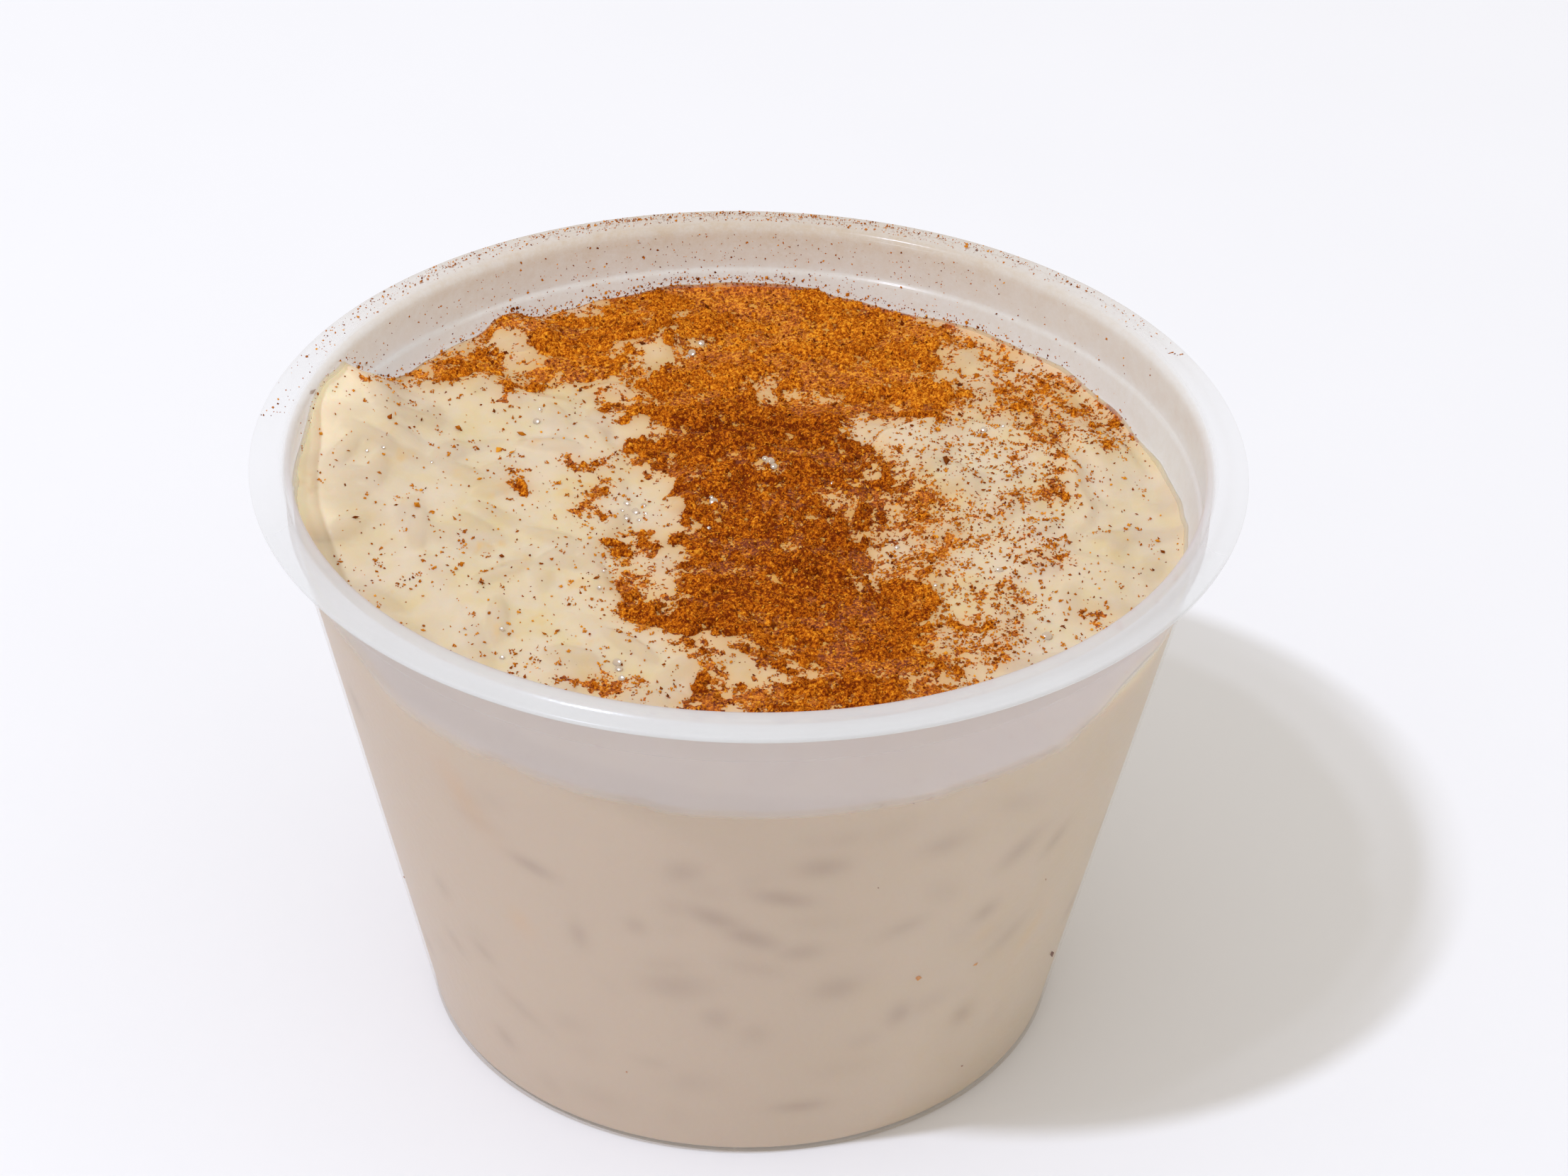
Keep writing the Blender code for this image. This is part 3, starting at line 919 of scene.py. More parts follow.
down = (np.arange(1, SIDE_ROWS + 1) / SIDE_ROWS)[:, None]
lowest = FLOOR + CORNER
side_z = edge_height + (lowest - edge_height) * down
side_radius = wall_inside(side_z) + REACH
corner = np.radians(np.linspace(15.0, 90.0, 5))[:, None]
corner_radius = side_radius[-1] - CORNER * (1.0 - np.cos(corner))
corner_z = lowest - (CORNER + REACH) * np.sin(corner) * np.ones(SPOKES)
floor_radius = corner_radius[-1] * np.array([[0.7], [0.35]])
floor_z = np.full_like(floor_radius, FLOOR - REACH)

lower_radius = np.vstack([side_radius, corner_radius, floor_radius])
lower_z = np.vstack([side_z, corner_z, floor_z])
rings_x = np.vstack([top_x, lower_radius * np.cos(angles)])
rings_y = np.vstack([top_y, lower_radius * np.sin(angles)])
rings_z = np.vstack([top_z, lower_z])
ring_points = np.stack([rings_x, rings_y, rings_z], axis=-1).reshape(-1, 3)
middle_top = np.array([[0.0, 0.0, float(sample(SURFACE, np.zeros(1), np.zeros(1))[0])]])
middle_floor = np.array([[0.0, 0.0, FLOOR - REACH]])
pudding_points = np.vstack([ring_points, middle_top, middle_floor])
print(f"{len(rings_x)} rings of {SPOKES} points")

# %% [markdown]
# Grains that lie against the plastic show from outside as soft grey-brown dashes a few
# millimetres long, most of them tipped down to the right. Some are listed one by one where
# they stand out and the rest are scattered round the cup.

# %% Lay grains against the wall
# direction in degrees, height, half length, half width, tip in degrees, strength
WALL_GRAINS = [
    (241, 28.5, 2.0, 0.55, -12, 0.8), (247, 22.5, 0.8, 1.1, 0, 0.6), (256, 25, 0.9, 0.7, 0, 0.5),
    (263, 31.5, 1.5, 0.9, 20, 0.6), (281, 32, 1.9, 0.8, 0, 0.75), (276, 29, 2.3, 0.6, -15, 0.8),
    (267, 26.8, 2.3, 0.7, -26, 0.8), (272, 24.8, 2.2, 0.7, -26, 0.85), (279, 23, 1.7, 0.7, 0, 0.6),
    (261, 19, 2.6, 1.1, 8, 0.6), (285, 18.5, 1.9, 1.0, 0, 0.65), (267, 15.7, 1.2, 0.9, 0, 0.5),
    (281, 5.2, 2.2, 0.5, 0, 0.7), (294, 24, 2.0, 0.6, 15, 0.5), (308, 22.5, 1.3, 0.7, 20, 0.75),
    (298, 32, 2.0, 0.8, 0, 0.55), (312, 28, 2.2, 0.8, 28, 0.7), (320, 26.5, 1.4, 0.6, 40, 0.7),
    (296, 14, 1.1, 1.0, 0, 0.7), (309, 11, 1.0, 0.9, 30, 0.7), (227, 6, 1.1, 0.7, -40, 0.6),
    (220, 20, 1.0, 0.7, -30, 0.5), (219, 14, 1.2, 0.6, -35, 0.5), (227, 15.5, 1.3, 0.6, -30, 0.55),
    (315, 18, 2.2, 0.7, 30, 0.5), (233, 11, 2.6, 0.6, -30, 0.4), (273, 14, 1.2, 1.0, 0, 0.35),
]
# how many, from and to which direction, strongest
SCATTERED_GRAINS = ((46, -28.0, 208.0, 0.8), (34, 212.0, 330.0, 0.34))

for count, first_way, last_way, strongest in SCATTERED_GRAINS:
    for _ in range(count):
        WALL_GRAINS.append((
            chance.uniform(first_way, last_way), chance.uniform(3.0, 35.0), chance.uniform(1.0, 2.6),
            chance.uniform(0.5, 1.0), chance.uniform(-35.0, 30.0), strongest * chance.uniform(0.4, 1.0),
        ))

BLURRED = 1.35          # the pudding in front of a grain widens it by this factor
FAINT = 0.68            # and lets this much of it show

row_degrees = np.degrees(np.broadcast_to(angles, rings_z.shape))
row_radius = np.hypot(rings_x, rings_y)


def wall_marks(marks):
    """Soft oval marks on the side of the pudding, from rows like those of WALL_GRAINS."""
    mask = np.zeros_like(rings_z)
    for bearing, height, half_length, half_width, tip, strength in marks:
        turned_by = (row_degrees - bearing + 180.0) % 360.0 - 180.0
        along_wall = np.radians(turned_by) * row_radius
        out = oval(along_wall, rings_z, 0.0, height, half_length, half_width * BLURRED, tip)
        mask = np.maximum(mask, FAINT * strength * np.exp(-out**2))
    return mask


grain_mask = wall_marks(WALL_GRAINS)
grain_mask[:TOP_RINGS] = 0.22 * smooth(sample(rice, top_x, top_y) / 0.3)
# spice has stained the pudding in a streak and a spot, and there are two yellow traces of cream
wall_stains = wall_marks([(231, 33.0, 3.6, 1.0, -58, 0.26), (237, 21.6, 1.1, 1.0, 0, 0.24)])
wall_butter = wall_marks([(321, 16.5, 2.4, 0.6, 55, 0.3), (309, 20.0, 1.0, 0.5, 20, 0.25)])
print(f"{len(WALL_GRAINS)} grains against the wall")

# %% [markdown]
# The top gets its own numbers: an orange stain that fades within a few millimetres of
# the powder, the powder itself, painted shade on it, and soft spots of butterfat, most
# of them at the left. Painted shade darkens the powder in the middle column and the creases, and leaves it
# light at the back.
# Two more numbers paint light where pudding is thin on the wall and shade where it is pressed on it.

# %% Stain the top
BUTTER_SPOTS = 34
STAIN_STRENGTH = 0.62

stain_field = STAIN_STRENGTH * blurred(smooth((COVER - 0.15) / 0.6), 0.55)
stain_field += 0.38 * blurred(COVER, 2.0)
# painted shade in front of the band at the back, most of all in the middle column and the creases
PAINTED_SHADE = smooth((19.0 - PLAN_Y) / 5.0) * (0.7 + 0.3 * smooth((13.0 + PLAN_Y) / 5.0))
PAINTED_SHADE *= 1.0 - 0.6 * smooth((np.abs(GRID_X - 2.0) - 7.0) / 4.0)
PAINTED_SHADE += 1.2 * creases
butter_field = np.zeros_like(SURFACE)
for _ in range(BUTTER_SPOTS):
    place = (chance.normal(-22.0, 8.0), chance.normal(2.0, 11.0), chance.uniform(0.3, 0.9),
             chance.uniform(0.3, 0.7), chance.uniform(0, 180))
    spot = chance.uniform(0.15, 0.55) * np.exp(-oval(ragged_x, ragged_y, *place) ** 2)
    butter_field = np.maximum(butter_field, spot)

# the noise mustn't lift bare places over the threshold, nor leave holes in thick powder
LEAST = -0.8
sunk_powder = COVER + LEAST * (1.0 - smooth(COVER / 0.2)) + 0.8 * smooth((COVER - 0.6) / 0.25)


def top_marks(field):
    """Values of a field for the rings of the top, and 0 for the rings below them."""
    marks = np.zeros_like(rings_z)
    marks[:TOP_RINGS] = sample(field, top_x, top_y)
    return marks


# %% Paint light on thin pudding, and shade on pudding pressed on the wall
# painted light: a thin film near the contact line is painted lighter than the deep pudding below it
below_line = edge_height[None, :] - rings_z
on_side = smooth((np.arange(len(rings_z)) - TOP_RINGS + 2.0) / 2.0)[:, None]
painted_film_light = 0.30 - 0.22 * np.clip(-np.sin(angles) * 1.6 - 0.6, 0.0, 1.0)
# painted light: the pressed pudding is painted lighter towards the right side
painted_light_right = 0.4 * np.clip(np.cos(angles), 0.0, 1.0)
# painted shade on the pudding's side, which also looks greyer where pressed on the plastic
pressed_and_shaded = on_side * (1.0 - painted_film_light * (1.0 - smooth(below_line / 4.5)) - painted_light_right)
climbed = top_z - sample(SURFACE, top_x, top_y)
# painted light where the pudding climbs the wall, more on the left, for light through the plastic from
# behind
painted_backlight = np.zeros_like(rings_z)
painted_backlight[:TOP_RINGS] = (0.65 - 0.35 * np.cos(angles)) * smooth((climbed - 0.3) / 2.0)

# %% Make the pudding
pudding_marks = {
    "stain": top_marks(stain_field) + wall_stains,
    "powder": top_marks(sunk_powder - LEAST) + LEAST,
    "painted_shade": top_marks(PAINTED_SHADE),
    "butter": top_marks(butter_field) + wall_butter,
    "grains": grain_mask,
    "pressed_and_shaded": pressed_and_shaded,
    "painted_backlight": painted_backlight,
}
middles = np.zeros(2)       # the middle of the top and of the floor have no marks
pudding_marks = {key: np.concatenate([marks.ravel(), middles]) for key, marks in pudding_marks.items()}

spoke = np.arange(SPOKES)
beside = (spoke + 1) % SPOKES
last_ring = (len(rings_x) - 1) * SPOKES
top_middle = np.full(SPOKES, len(ring_points))
top_fan = np.stack([spoke, beside, top_middle], axis=-1)
floor_fan = np.stack([last_ring + beside, last_ring + spoke, top_middle + 1], axis=-1)
pudding_faces = [*ring_faces(len(rings_x), SPOKES).tolist(), *top_fan.tolist(), *floor_fan.tolist()]
pudding_faces = np.array(pudding_faces, dtype=object)
pudding_body = make_piece("pudding_body", pudding_points, pudding_faces, milk_pudding,
                          pudding_marks)
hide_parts("pudding")

# %% [markdown]
# ## Ground cinnamon
# Ground cinnamon is bark milled to grains of 0.1 to 0.4 mm, dry and quite dull. Each
# grain is a bit darker or lighter than the next: outer bark is dark brown, inner bark
# is orange-tan. The loose grains take their tone from a number on each grain, and the
# bed takes it from noise at the size of a grain, darkened by painted shade.

# %% Cinnamon
def make_cinnamon(name, tones=None):
    """Milled bark, dull. With tones a number on each grain picks one, without them noise does, darkened by
    painted shade.
    """
    spice = new_material(name)
    # a tone on each grain, or for the bed the painted shade
    mark = add(spice, "Attribute", {"attribute_name": "tone" if tones else "painted_shade"}).outputs["Fac"]
    if tones:
        bark = bark_colour(spice, mark, *tones)
    else:
        place = add(spice, "TexCoord").outputs["Object"]
        bark = bark_colour(spice, bark_tone(spice, place, mark))
    body = add(spice, "BsdfPrincipled", {"Roughness": 0.85, "IOR": 1.45, "Specular IOR Level": 0.05},
               {"Base Color": bark})
    add(spice, "OutputMaterial", {}, {"Surface": body.outputs[0]})
    return spice


cinnamon_bed_finish = make_cinnamon("cinnamon_ground_bed")
cinnamon_grain_finish = make_cinnamon("cinnamon_ground_grain", ("#6A2C06", "#BC6810", "#EAA02E"))
cinnamon_chip_finish = make_cinnamon("cinnamon_bark_chip", ("#5E2A08", "#9A4C0C", "#D48824"))

# %% [markdown]
# Where the cover is thick the powder is a bed with its own relief. It is cut out of the
# surface grid, lifted by its thickness, and its edge runs down under the pudding's
# surface, so that no rim of a sheet shows. Fine noise makes the relief of grains.

# %% Lay the bed
BED_FROM = 0.68         # the bed lies where the cover is above this
BED_THICKNESS = 0.55    # it grows thicker by this much for each 1 of cover above it
EDGE_DEPTH = -0.12      # its edge lies this deep under the skin
thickness = BED_THICKNESS * (COVER - BED_FROM)
# low drifts across the bed, 2.4 mm apart, then clumps and grains
relief = 0.58 * ripple(GRID_X * 0.45, GRID_Y, 2.4, 43.0)
relief += ripples((0.30, 1.0, 44.0), (0.30, 0.55, 41.0), (0.16, 0.33, 42.0))
relief += chance.uniform(-0.04, 0.04, COVER.shape)
thickness += relief * smooth((COVER - BED_FROM) / 0.2)
margin = to_wall(GRID_X, GRID_Y)
thickness *= 0.6 + 0.4 * smooth(margin / 1.6)         # it thins out against the wall


def spread(mask, steps, pick):
    """Grow (pick np.maximum) or shrink (np.minimum) a mask by a few cells."""
    for _ in range(steps):
        for shift_axis in (0, 1):
            mask = pick(pick(mask, np.roll(mask, 1, shift_axis)), np.roll(mask, -1, shift_axis))
    return mask


keep = (thickness > 0.0) & (margin > 0.05)
keep = spread(spread(keep, 1, np.minimum), 2, np.maximum)
lift = np.maximum(thickness, EDGE_DEPTH)
lift = np.where(spread(keep, 1, np.minimum), lift, EDGE_DEPTH)
corners = keep[:-1, :-1] & keep[1:, :-1] & keep[:-1, 1:] & keep[1:, 1:]
rows, columns = np.nonzero(corners)
width = len(axis)
first = rows * width + columns
bed_cells = np.stack([first, first + 1, first + width + 1, first + width], axis=-1)
used, bed_faces = np.unique(bed_cells, return_inverse=True)
bed_faces = bed_faces.reshape(-1, 4)
bed_x, bed_y = GRID_X.ravel()[used], GRID_Y.ravel()[used]
bed_points = np.stack([bed_x, bed_y, skin_height(bed_x, bed_y) + lift.ravel()[used]], axis=-1)
# painted shade: the bed is darker in the middle column and the creases
bed_marks = {"painted_shade": PAINTED_SHADE.ravel()[used]}
make_piece("cinnamon_bed", bed_points, bed_faces, cinnamon_bed_finish, bed_marks)


def ground_height(x, y):
    """Height of what a falling grain meets: the bed, or the skin between its patches."""
    return skin_height(x, y) + np.maximum(sample(lift, x, y), 0.0)


# %% [markdown]
# ## Loose powder
# A grain is a tiny crooked stone. Thousands of them as separate objects would be slow,
# so every grain is the same eight-sided form with its own size, turn and dents, and all
# grains of a kind are joined in one mesh. Chance decides where they fall, and the cover
# field decides how likely each place is.

# %% Shape many grains at once
GRAIN_FORM = np.array([[1, 0, 0], [-1, 0, 0], [0, 1, 0], [0, -1, 0], [0, 0, 1], [0, 0, -1]], dtype=float)
GRAIN_FACES = np.array([[0, 2, 4], [2, 1, 4], [1, 3, 4], [3, 0, 4],
                        [2, 0, 5], [1, 2, 5], [3, 1, 5], [0, 3, 5]])


def random_turns(count):
    """One random rotation matrix for each grain, from random quaternions."""
    q = chance.normal(size=(count, 4))
    w, x, y, z = (q / np.linalg.norm(q, axis=1, keepdims=True)).T
    return np.stack([
        np.stack([1 - 2 * (y * y + z * z), 2 * (x * y - w * z), 2 * (x * z + w * y)], axis=-1),
        np.stack([2 * (x * y + w * z), 1 - 2 * (x * x + z * z), 2 * (y * z - w * x)], axis=-1),
        np.stack([2 * (x * z - w * y), 2 * (y * z + w * x), 1 - 2 * (x * x + y * y)], axis=-1),
    ], axis=1)


def round_cup(radius, angle, height):
    """Points from their radius, direction and height."""
    return np.column_stack([radius * np.cos(angle), radius * np.sin(angle), height])


def lay_grains(name, centres, sizes, tones, finish):
    """Join crooked grains with these centres, half sizes and tones into one piece."""
    count = len(centres)
    form = GRAIN_FORM * sizes[:, None, :] * chance.uniform(0.7, 1.25, (count, 6, 1))
    points = np.einsum("nij,nkj->nki", random_turns(count), form) + centres[:, None, :]
    faces = GRAIN_FACES[None, :, :] + np.arange(count)[:, None, None] * 6
    marks = {"tone": np.repeat(tones, 6)}
    make_piece(name, points.reshape(-1, 3), faces.reshape(-1, 3), finish, marks, smooth=False)


def landing(tries, likely, margin):
    """The tries that chance lets land, if they lie inside the wall by a margin."""
    landed = chance.random(len(tries)) < likely
    return tries[landed & (to_wall(*tries.T) > margin)]


# %% Sprinkle the powder
POWDER_TRIES = 110000
GRAIN_RADIUS = 0.08
STRAY_CHANCE = 0.012    # a grain may land where there is no cover at all

tries = chance.uniform(-NECK_RADIUS, NECK_RADIUS, (POWDER_TRIES, 2))
cover_there = sample(COVER, tries[:, 0], tries[:, 1])
# most grains lie where the cover is broken, and a few on top of the bed
likely = STRAY_CHANCE + 0.85 * smooth((cover_there - 0.05) / 0.75)
likely *= 1.0 - 0.5 * smooth((cover_there - 0.75) / 0.25)
spots = landing(tries, likely, 0.1)
print(f"{len(spots)} grains of powder")
size = GRAIN_RADIUS * np.exp(chance.normal(0.0, 0.35, len(spots)))
sizes = size[:, None] * chance.uniform(0.6, 1.3, (len(spots), 3))
centres = np.column_stack([spots, ground_height(*spots.T) + size * 0.3])
# single grains between the patches look lighter than those that lie in a heap
loose = smooth((0.6 - sample(COVER, *spots.T)) / 0.4)
tones = np.clip(chance.normal(0.45, 0.28, len(spots)) + 0.15 * loose, 0.0, 1.0)
lay_grains("cinnamon_powder", centres, sizes, tones, cinnamon_grain_finish)

# %% [markdown]
# ## Specks and chips
# Away from the bed the powder lies as single specks and in little clumps, and larger
# chips of bark lie here and there, up to a millimetre long. One large chip sits on the
# right-hand dollop. Chips are flatter and longer grains. Ovals say where they fell
# thickly: about the edges of the bed, over the right-hand side and at the front left.

# %% Drop the specks
# centre x, y, radius x, y, turn, how thickly
SPECKLED = (
    (-16.0, 0.0, 19.0, 22.0, 0.0, 0.09),
    (-12.0, -16.5, 9.0, 3.5, -18.0, 0.45),
    (-9.5, 0.0, 4.0, 14.0, 5.0, 0.40),
    (-25.0, -4.0, 6.0, 6.0, 30.0, 0.28),
    (-13.0, 7.0, 6.0, 3.5, 0.0, 0.30),
    (-27.0, 16.0, 6.0, 4.0, 0.0, 0.30),
    (15.5, -1.0, 9.5, 15.5, 0.0, 0.80),
    (17.0, 5.0, 8.0, 9.0, 0.0, 0.95),
    (22.0, 15.0, 9.0, 6.0, -35.0, 0.65),
    (26.0, -3.0, 6.0, 10.0, 0.0, 0.14),
    (-4.5, -13.5, 5.0, 6.0, 0.0, 0.40),
    (0.0, 20.0, 24.0, 10.0, 0.0, 0.25),
)
SPECK_TRIES = 17000
SPECK_RADIUS = 0.09
SPECK_LIMIT = 0.2
SPECK_SHAPE = np.array([1.35, 0.85, 0.55])      # longer and flatter than a grain


def speckled(x, y):
    """How thickly specks lie at places on the surface."""
    plan_y = y + SLANT * above_plan(sample(gentle, x, y), y)
    thick = np.zeros_like(x)
    for *place, strength in SPECKLED:
        thick = np.maximum(thick, strength * (1.0 - smooth(oval(x, plan_y, *place) - 0.5)))
    return thick


tries = chance.uniform(-half_mouth, half_mouth, (SPECK_TRIES, 2))
spots = landing(tries, 0.01 + speckled(*tries.T), 0.2)
print(f"{len(spots)} specks")
size = np.minimum(SPECK_RADIUS * np.exp(chance.normal(0.0, 0.42, len(spots))), SPECK_LIMIT)
sizes = size[:, None] * SPECK_SHAPE * chance.uniform(0.7, 1.3, (len(spots), 3))
centres = np.column_stack([spots, ground_height(*spots.T) + size * 0.1])
tones = chance.beta(2.0, 1.2, len(spots))

# larger chips, listed one by one: x, y, half length, tone
LARGE_CHIPS = (
    (15.0, 9.9, 0.62, 0.15), (-24.8, 2.3, 0.6, 0.95), (-29.2, -0.2, 0.33, 0.2), (-18.2, -3.6, 0.36, 0.3),
    (-8.9, 24.8, 0.32, 0.0), (-30.4, 20.3, 0.28, 0.0), (-33.4, 12.4, 0.4, 0.1), (-20.0, 15.0, 0.3, 0.1),
    (-5.3, -19.7, 0.34, 0.1), (16.3, 20.1, 0.35, 0.05), (-4.0, 30.0, 0.35, 0.0), (2.9, 15.1, 0.3, 0.0),
    (-22.6, 12.5, 0.5, 0.7), (-17.7, 12.0, 0.45, 0.75), (-27.6, 12.8, 0.35, 0.5), (31.2, -1.5, 0.35, 0.2),
)
for x, plan_y, half_length, tone in LARGE_CHIPS:
    x, y = from_plan(x, plan_y)
    centres = np.vstack([centres, np.column_stack([x, y, ground_height(x, y) + 0.08])])
    sizes = np.vstack([sizes, (half_length, half_length * 0.55, half_length * 0.4)])
    tones = np.append(tones, tone)
lay_grains("cinnamon_chips", centres, sizes, tones, cinnamon_chip_finish)

# %% Gather small clumps
CLUMPS = 420
CLUMP_GRAINS = 9
CLUMP_GRAIN_RADIUS = 0.07
tries = chance.uniform(-half_mouth, half_mouth, (CLUMPS * 12, 2))
middles = landing(tries, 0.06 + speckled(*tries.T) ** 1.2, 0.5)
middles = middles[sample(COVER, *middles.T) < 0.5][:CLUMPS]
spots = np.repeat(middles, CLUMP_GRAINS, axis=0)
clump_spread = np.repeat(chance.uniform(0.05, 0.18, len(middles)), CLUMP_GRAINS)
spots = spots + chance.normal(size=spots.shape) * clump_spread[:, None]
size = CLUMP_GRAIN_RADIUS * np.exp(chance.normal(0.0, 0.3, len(spots)))
sizes = size[:, None] * chance.uniform(0.7, 1.3, (len(spots), 3))
centres = np.column_stack([spots, skin_height(*spots.T) + size * 0.3])
tones = np.repeat(chance.uniform(0.35, 0.85, len(middles)), CLUMP_GRAINS)
tones = np.clip(tones + chance.normal(0.0, 0.12, len(spots)), 0.0, 1.0)
lay_grains("cinnamon_clumps", centres, sizes, tones, cinnamon_grain_finish)

# %% [markdown]
# ## Dust on the rim
# Some powder missed the pudding. It lies on the flange at the back and clings to the
# neck and the inner wall there, most of it just above the pudding. A few crumbs are also
# pressed between the pudding and the plastic, where they show from outside as dots.

# %% Dust the rim
RIM_GRAINS = 3400
DUST_RADIUS = 0.05
FRINGE_RADIUS = 0.07
FLANGE_FROM, FLANGE_TO = 34.6, 36.8
BRIM_FROM = 36.0        # from here outwards the flange is its flat brim
bearing = np.radians(np.clip(chance.normal(98.0, 30.0, RIM_GRAINS), 25.0, 175.0))
where = chance.random(RIM_GRAINS)
on_flange = where < 0.5
radius = np.where(on_flange, chance.uniform(FLANGE_FROM, FLANGE_TO, RIM_GRAINS), 0.0)
flange_top = np.where(radius > BRIM_FROM, brim_top, CUP_HEIGHT - 0.05)
contact = at_wall(round_heights, bearing)
wall_height = contact + (CUP_HEIGHT - 0.8 - contact) * chance.random(RIM_GRAINS) ** 1.6
close = chance.random(RIM_GRAINS) < 0.4         # a fringe just above the pudding
wall_height = np.where(close, contact + chance.uniform(-0.1, 0.8, RIM_GRAINS), wall_height)
radius = np.where(on_flange, radius, wall_inside(wall_height) - 0.02)
height = np.where(on_flange, flange_top, wall_height)
size = np.where(close & ~on_flange, FRINGE_RADIUS, DUST_RADIUS)
size = size * np.exp(chance.normal(0.0, 0.4, RIM_GRAINS))
centres = round_cup(radius, bearing, height)
sizes = size[:, None] * chance.uniform(0.6, 1.4, (RIM_GRAINS, 3))
tones = np.clip(chance.normal(0.4, 0.25, RIM_GRAINS), 0.0, 1.0)

# direction in degrees, height, half length, tone
CRUMBS = [
    (298.0, 17.7, 0.36, 0.75), (309.0, 16.5, 0.22, 0.95), (336.0, 9.0, 0.30, 0.0), (289.0, 29.0, 0.13, 0.1),
    (313.0, 4.0, 0.18, 0.2), (321.0, 22.0, 0.12, 0.3), (252.0, 8.0, 0.12, 0.4), (20.0, 20.0, 0.2, 0.3),
    (60.0, 26.0, 0.25, 0.6), (110.0, 14.0, 0.2, 0.2), (150.0, 24.0, 0.22, 0.7), (195.0, 12.0, 0.15, 0.3),
]
# more of them lie along the contact line at the front
for _ in range(36):
    direction = chance.uniform(262.0, 318.0)
    line = at_wall(round_heights, math.radians(direction))
    crumb_place = (direction, line - 0.1 + chance.normal(0.0, 0.15))
    CRUMBS.append((*crumb_place, chance.uniform(0.05, 0.12), chance.random()))
crumb_bearing, crumb_height, crumb_length, crumb_tone = np.array(CRUMBS).T
crumb_radius = wall_inside(crumb_height) + REACH
centres = np.vstack([centres, round_cup(crumb_radius, np.radians(crumb_bearing), crumb_height)])
sizes = np.vstack([sizes, crumb_length[:, None] * np.array([1.0, 0.7, 0.4])])
tones = np.append(tones, crumb_tone)
lay_grains("cinnamon_rim_dust", centres, sizes, tones, cinnamon_grain_finish)

# %% [markdown]
# ## Droplets
# Drops of milk and small bubbles sit on the surface and sparkle. Water and thin milk
# have an IOR of about 1.34 and a mirror-smooth skin. Each drop is a small lens, made
# from rings like the pudding. Drops lie on slopes that face the front, so a lens leans,
# its lower edge is in the pudding, and its flat top mirrors the lamp. The flatter the
# lens, the larger the spark: a round bead shows hardly any.

# %% Milk droplets
def make_thin_milk():
    """Whey and milk in drops: pale, smooth and shining."""
    whey = new_material("thin_milk")
    place = add(whey, "TexCoord").outputs["Object"]
    # clear whey and milk swirl in each other, about a millimetre apart
    swirl = add(whey, "TexNoise", {"Scale": 900.0, "Detail": 2.0}, {"Vector": place})
    tint = add(whey, "Mix", {"data_type": "RGBA", MIX_A: linear("#C6B198"), MIX_B: linear("#B69F84")},
               {0: swirl.outputs[0]})
    body = add(whey, "BsdfPrincipled",
               {"Roughness": 0.12, "IOR": 1.4, "Coat Weight": 1.0, "Coat Roughness": 0.1,
                "Subsurface Weight": 0.3, "Subsurface Radius": (1.0, 0.7, 0.5), "Subsurface Scale": 0.0006},
               {"Base Color": tint.outputs[MIX_OUT]})
    add(whey, "OutputMaterial", {}, {"Surface": body.outputs[0]})
    return whey


thin_milk = make_thin_milk()

# x, y, radius, thickness
DROPS = [
    (1.5, 9.0, 0.38, 0.18), (1.1, 9.5, 0.26, 0.05), (1.8, 8.5, 0.28, 0.05), (1.5, 9.2, 0.22, 0.03),
    (-2.7, 3.7, 0.34, 0.035), (-2.9, 4.3, 0.18, 0.02), (-9.3, 3.2, 0.24, 0.02), (-8.6, 2.2, 0.30, 0.03),
    (-8.0, 3.1, 0.2, 0.02), (-9.2, 1.5, 0.22, 0.02), (-8.3, 1.2, 0.16, 0.015), (-9.6, 2.4, 0.14, 0.012),
    (-7.8, 2.1, 0.13, 0.01), (-16.7, 13.7, 0.28, 0.025), (-16.5, 15.4, 0.16, 0.015),
    (-4.3, 25.0, 0.28, 0.03), (-5.0, 23.6, 0.32, 0.035), (-5.3, 23.1, 0.2, 0.02),
    (-9.1, -16.1, 0.34, 0.035), (-8.95, -16.8, 0.28, 0.03), (-8.7, -17.9, 0.26, 0.025),
    (22.1, -12.0, 0.38, 0.04), (-17.6, -12.4, 0.2, 0.02), (-17.4, -15.8, 0.2, 0.02),
    (-27.8, 9.3, 0.16, 0.015), (-10.8, -7.2, 0.16, 0.015), (18.0, 14.0, 0.26, 0.025),
    (-24.2, 7.9, 0.12, 0.01), (18.8, -4.0, 0.26, 0.03), (6.3, 6.3, 0.16, 0.015),
    (-10.6, -5.2, 0.12, 0.01), (11.2, -1.5, 0.18, 0.02), (19.5, 14.6, 0.14, 0.012),
    (-3.0, 0.4, 0.16, 0.015), (-29.0, 8.6, 0.14, 0.012), (14.0, -6.0, 0.14, 0.012),
]
LEAN = Vector((-0.20, -0.61, 0.77))     # which way the flat top of a lens faces
DROP_RINGS = 9
DROP_SPOKES = 20
tilt = np.radians(np.linspace(-84.0, 84.0, DROP_RINGS))
turn = np.arange(DROP_SPOKES) * math.tau / DROP_SPOKES
drop_ring = np.cos(tilt)[:, None]
lens_form = np.stack([drop_ring * np.cos(turn), drop_ring * np.sin(turn),
                      np.sin(tilt)[:, None] * np.ones(DROP_SPOKES)], axis=-1).reshape(-1, 3)
lens_form = np.vstack([lens_form, [[0.0, 0.0, -1.0], [0.0, 0.0, 1.0]]])
last_row = (DROP_RINGS - 1) * DROP_SPOKES
lens_faces = ring_faces(DROP_RINGS, DROP_SPOKES)[:, ::-1].tolist()
for i in range(DROP_SPOKES):
    next_spoke = (i + 1) % DROP_SPOKES
    lens_faces.append([next_spoke, i, DROP_RINGS * DROP_SPOKES])
    lens_faces.append([last_row + i, last_row + next_spoke, DROP_RINGS * DROP_SPOKES + 1])

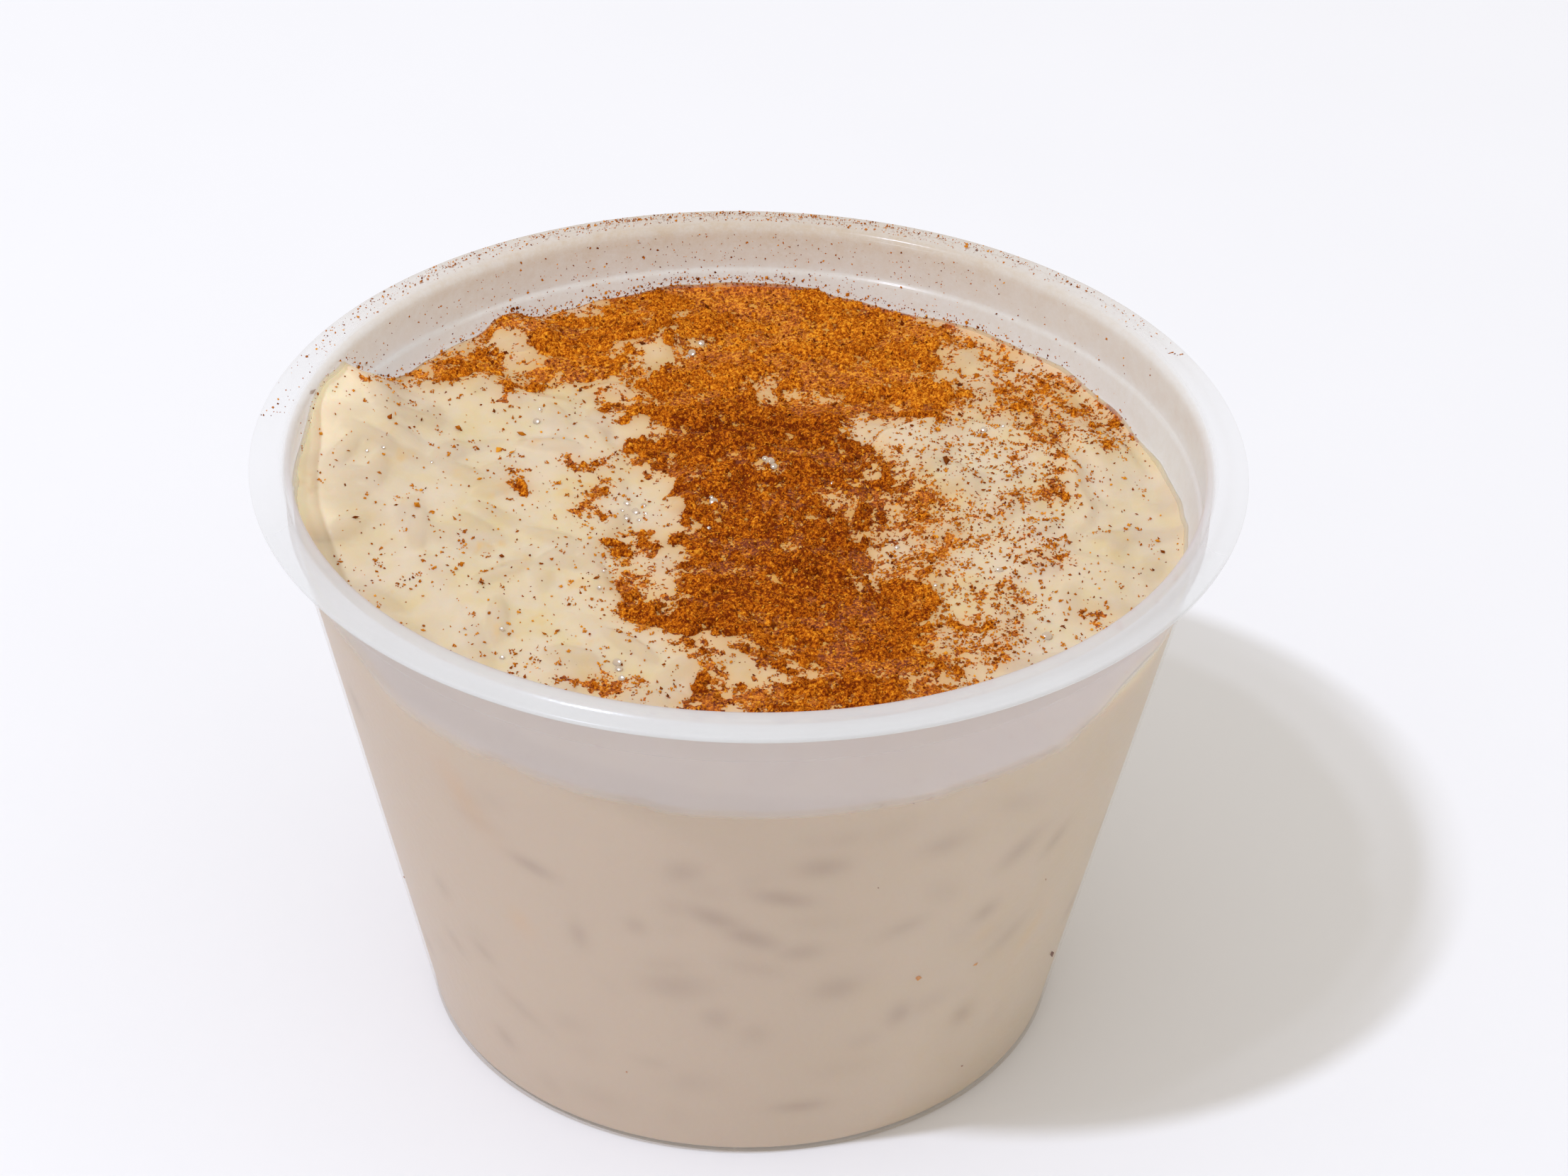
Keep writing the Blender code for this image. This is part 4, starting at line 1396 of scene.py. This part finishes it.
drop_points, drop_faces = [], []
for index, (x, plan_y, radius, thickness) in enumerate(DROPS):
    x, y = from_plan(x, plan_y)
    ground = float(ground_height(x, y)[0])
    axis_up = (LEAN + Vector(chance.uniform(-0.06, 0.06, 3))).normalized()
    leaning = np.array(axis_up.to_track_quat("Z", "Y").to_matrix())
    form = lens_form * np.array([radius, radius * chance.uniform(0.75, 1.0), thickness])
    drop_points.append(form @ leaning.T + np.array([float(x[0]), float(y[0]), ground + 0.4 * radius]))
    drop_faces += [[corner + index * len(lens_form) for corner in face] for face in lens_faces]
drop_faces = np.array(drop_faces, dtype=object)
make_piece("milk_droplets", np.vstack(drop_points), drop_faces, thin_milk)

# %% [markdown]
# ## The floor
# The cup stands on a sheet of matte white paper that is much larger than the picture.
# It isn't part of the object.

# %% Lay the floor
FLOOR_HALF = 2.0        # in metres
corners = [(x * FLOOR_HALF, y * FLOOR_HALF, 0.0) for x, y in ((-1, -1), (1, -1), (1, 1), (-1, 1))]
floor_mesh = bpy.data.meshes.new("floor")
floor_mesh.from_pydata(corners, [], [(0, 1, 2, 3)])
paper = new_material("paper_matte_white")
paper_place = add(paper, "TexCoord").outputs["Object"]
# fibres would be far finer; soft clouds of 25 mm stand for the sheet's slight unevenness
paper_cloud = add(paper, "TexNoise", {"Scale": 40.0, "Detail": 3.0}, {"Vector": paper_place})
paper_tint = add(paper, "Mix", {"data_type": "RGBA", MIX_A: linear("#EFEFF0"), MIX_B: linear("#EDEDEE")},
                 {0: paper_cloud.outputs[0]})
paper_body = add(paper, "BsdfPrincipled", {"Roughness": 0.9, "IOR": 1.45},
                 {"Base Color": paper_tint.outputs[MIX_OUT]})
add(paper, "OutputMaterial", {}, {"Surface": paper_body.outputs[0]})
floor_mesh.materials.append(paper)
floor_sheet = new_object("floor", floor_mesh)

# %% [markdown]
# ## Light
# The scene is a bright studio: pale light from all around, and one lamp high at the
# front left. The lamp is small, so the shadow's edge is crisp, and slightly cool next to
# the warm surroundings.

# %% Set the lamp and the surroundings
LAMP_BEARING = math.radians(218.0)
LAMP_ELEVATION = math.radians(61.0)
LAMP_DISTANCE = 1.7
LAMP_WIDTH = 0.08
LAMP_POWER = 15.0
towards_lamp = Vector((
    math.cos(LAMP_BEARING) * math.cos(LAMP_ELEVATION),
    math.sin(LAMP_BEARING) * math.cos(LAMP_ELEVATION),
    math.sin(LAMP_ELEVATION),
))
lamp = bpy.data.lights.new("studio_lamp", "AREA")
lamp.shape = "DISK"
lamp.size = LAMP_WIDTH
lamp.energy = LAMP_POWER
lamp.color = linear("#E2EAFF")[:3]
lamp_object = new_object("studio_lamp", lamp)
lamp_object.location = towards_lamp * LAMP_DISTANCE
lamp_object.rotation_euler = towards_lamp.to_track_quat("Z", "Y").to_euler()

SURROUNDINGS = 0.78
studio = bpy.data.worlds.new("studio")
studio.use_nodes = True
surroundings = studio.node_tree.nodes["Background"]
surroundings.inputs["Color"].default_value = linear("#FFFBF6")
surroundings.inputs["Strength"].default_value = SURROUNDINGS
bpy.context.scene.world = studio
bpy.context.scene.view_settings.view_transform = "Standard"

# %% [markdown]
# ## Camera
# We look down at the cup at about 34 degrees, as someone about to eat it would, through
# a long lens that keeps the circle of the rim from stretching. The camera is tipped by
# little more than a degree to the side.

# %% Place the camera
CAMERA_PITCH = math.radians(33.57)
CAMERA_ROLL = math.radians(1.367)
CAMERA_DISTANCE = 0.3227
FOCAL_LENGTH = 97.65
LOOK_AT = Vector((0.00279, 0.0, 0.03509))

backwards = Vector((0.0, -math.cos(CAMERA_PITCH), math.sin(CAMERA_PITCH)))
level_right = Vector((1.0, 0.0, 0.0))
level_up = backwards.cross(level_right)
right = level_right * math.cos(CAMERA_ROLL) + level_up * math.sin(CAMERA_ROLL)
up = level_up * math.cos(CAMERA_ROLL) - level_right * math.sin(CAMERA_ROLL)
lens = bpy.data.cameras.new("camera")
lens.lens = FOCAL_LENGTH
lens.sensor_width = 36.0
camera = new_object("camera", lens)
camera.matrix_world = Matrix.Translation(LOOK_AT + backwards * CAMERA_DISTANCE) @ Matrix(
    (right, up, backwards)).transposed().to_4x4()
bpy.context.scene.camera = camera
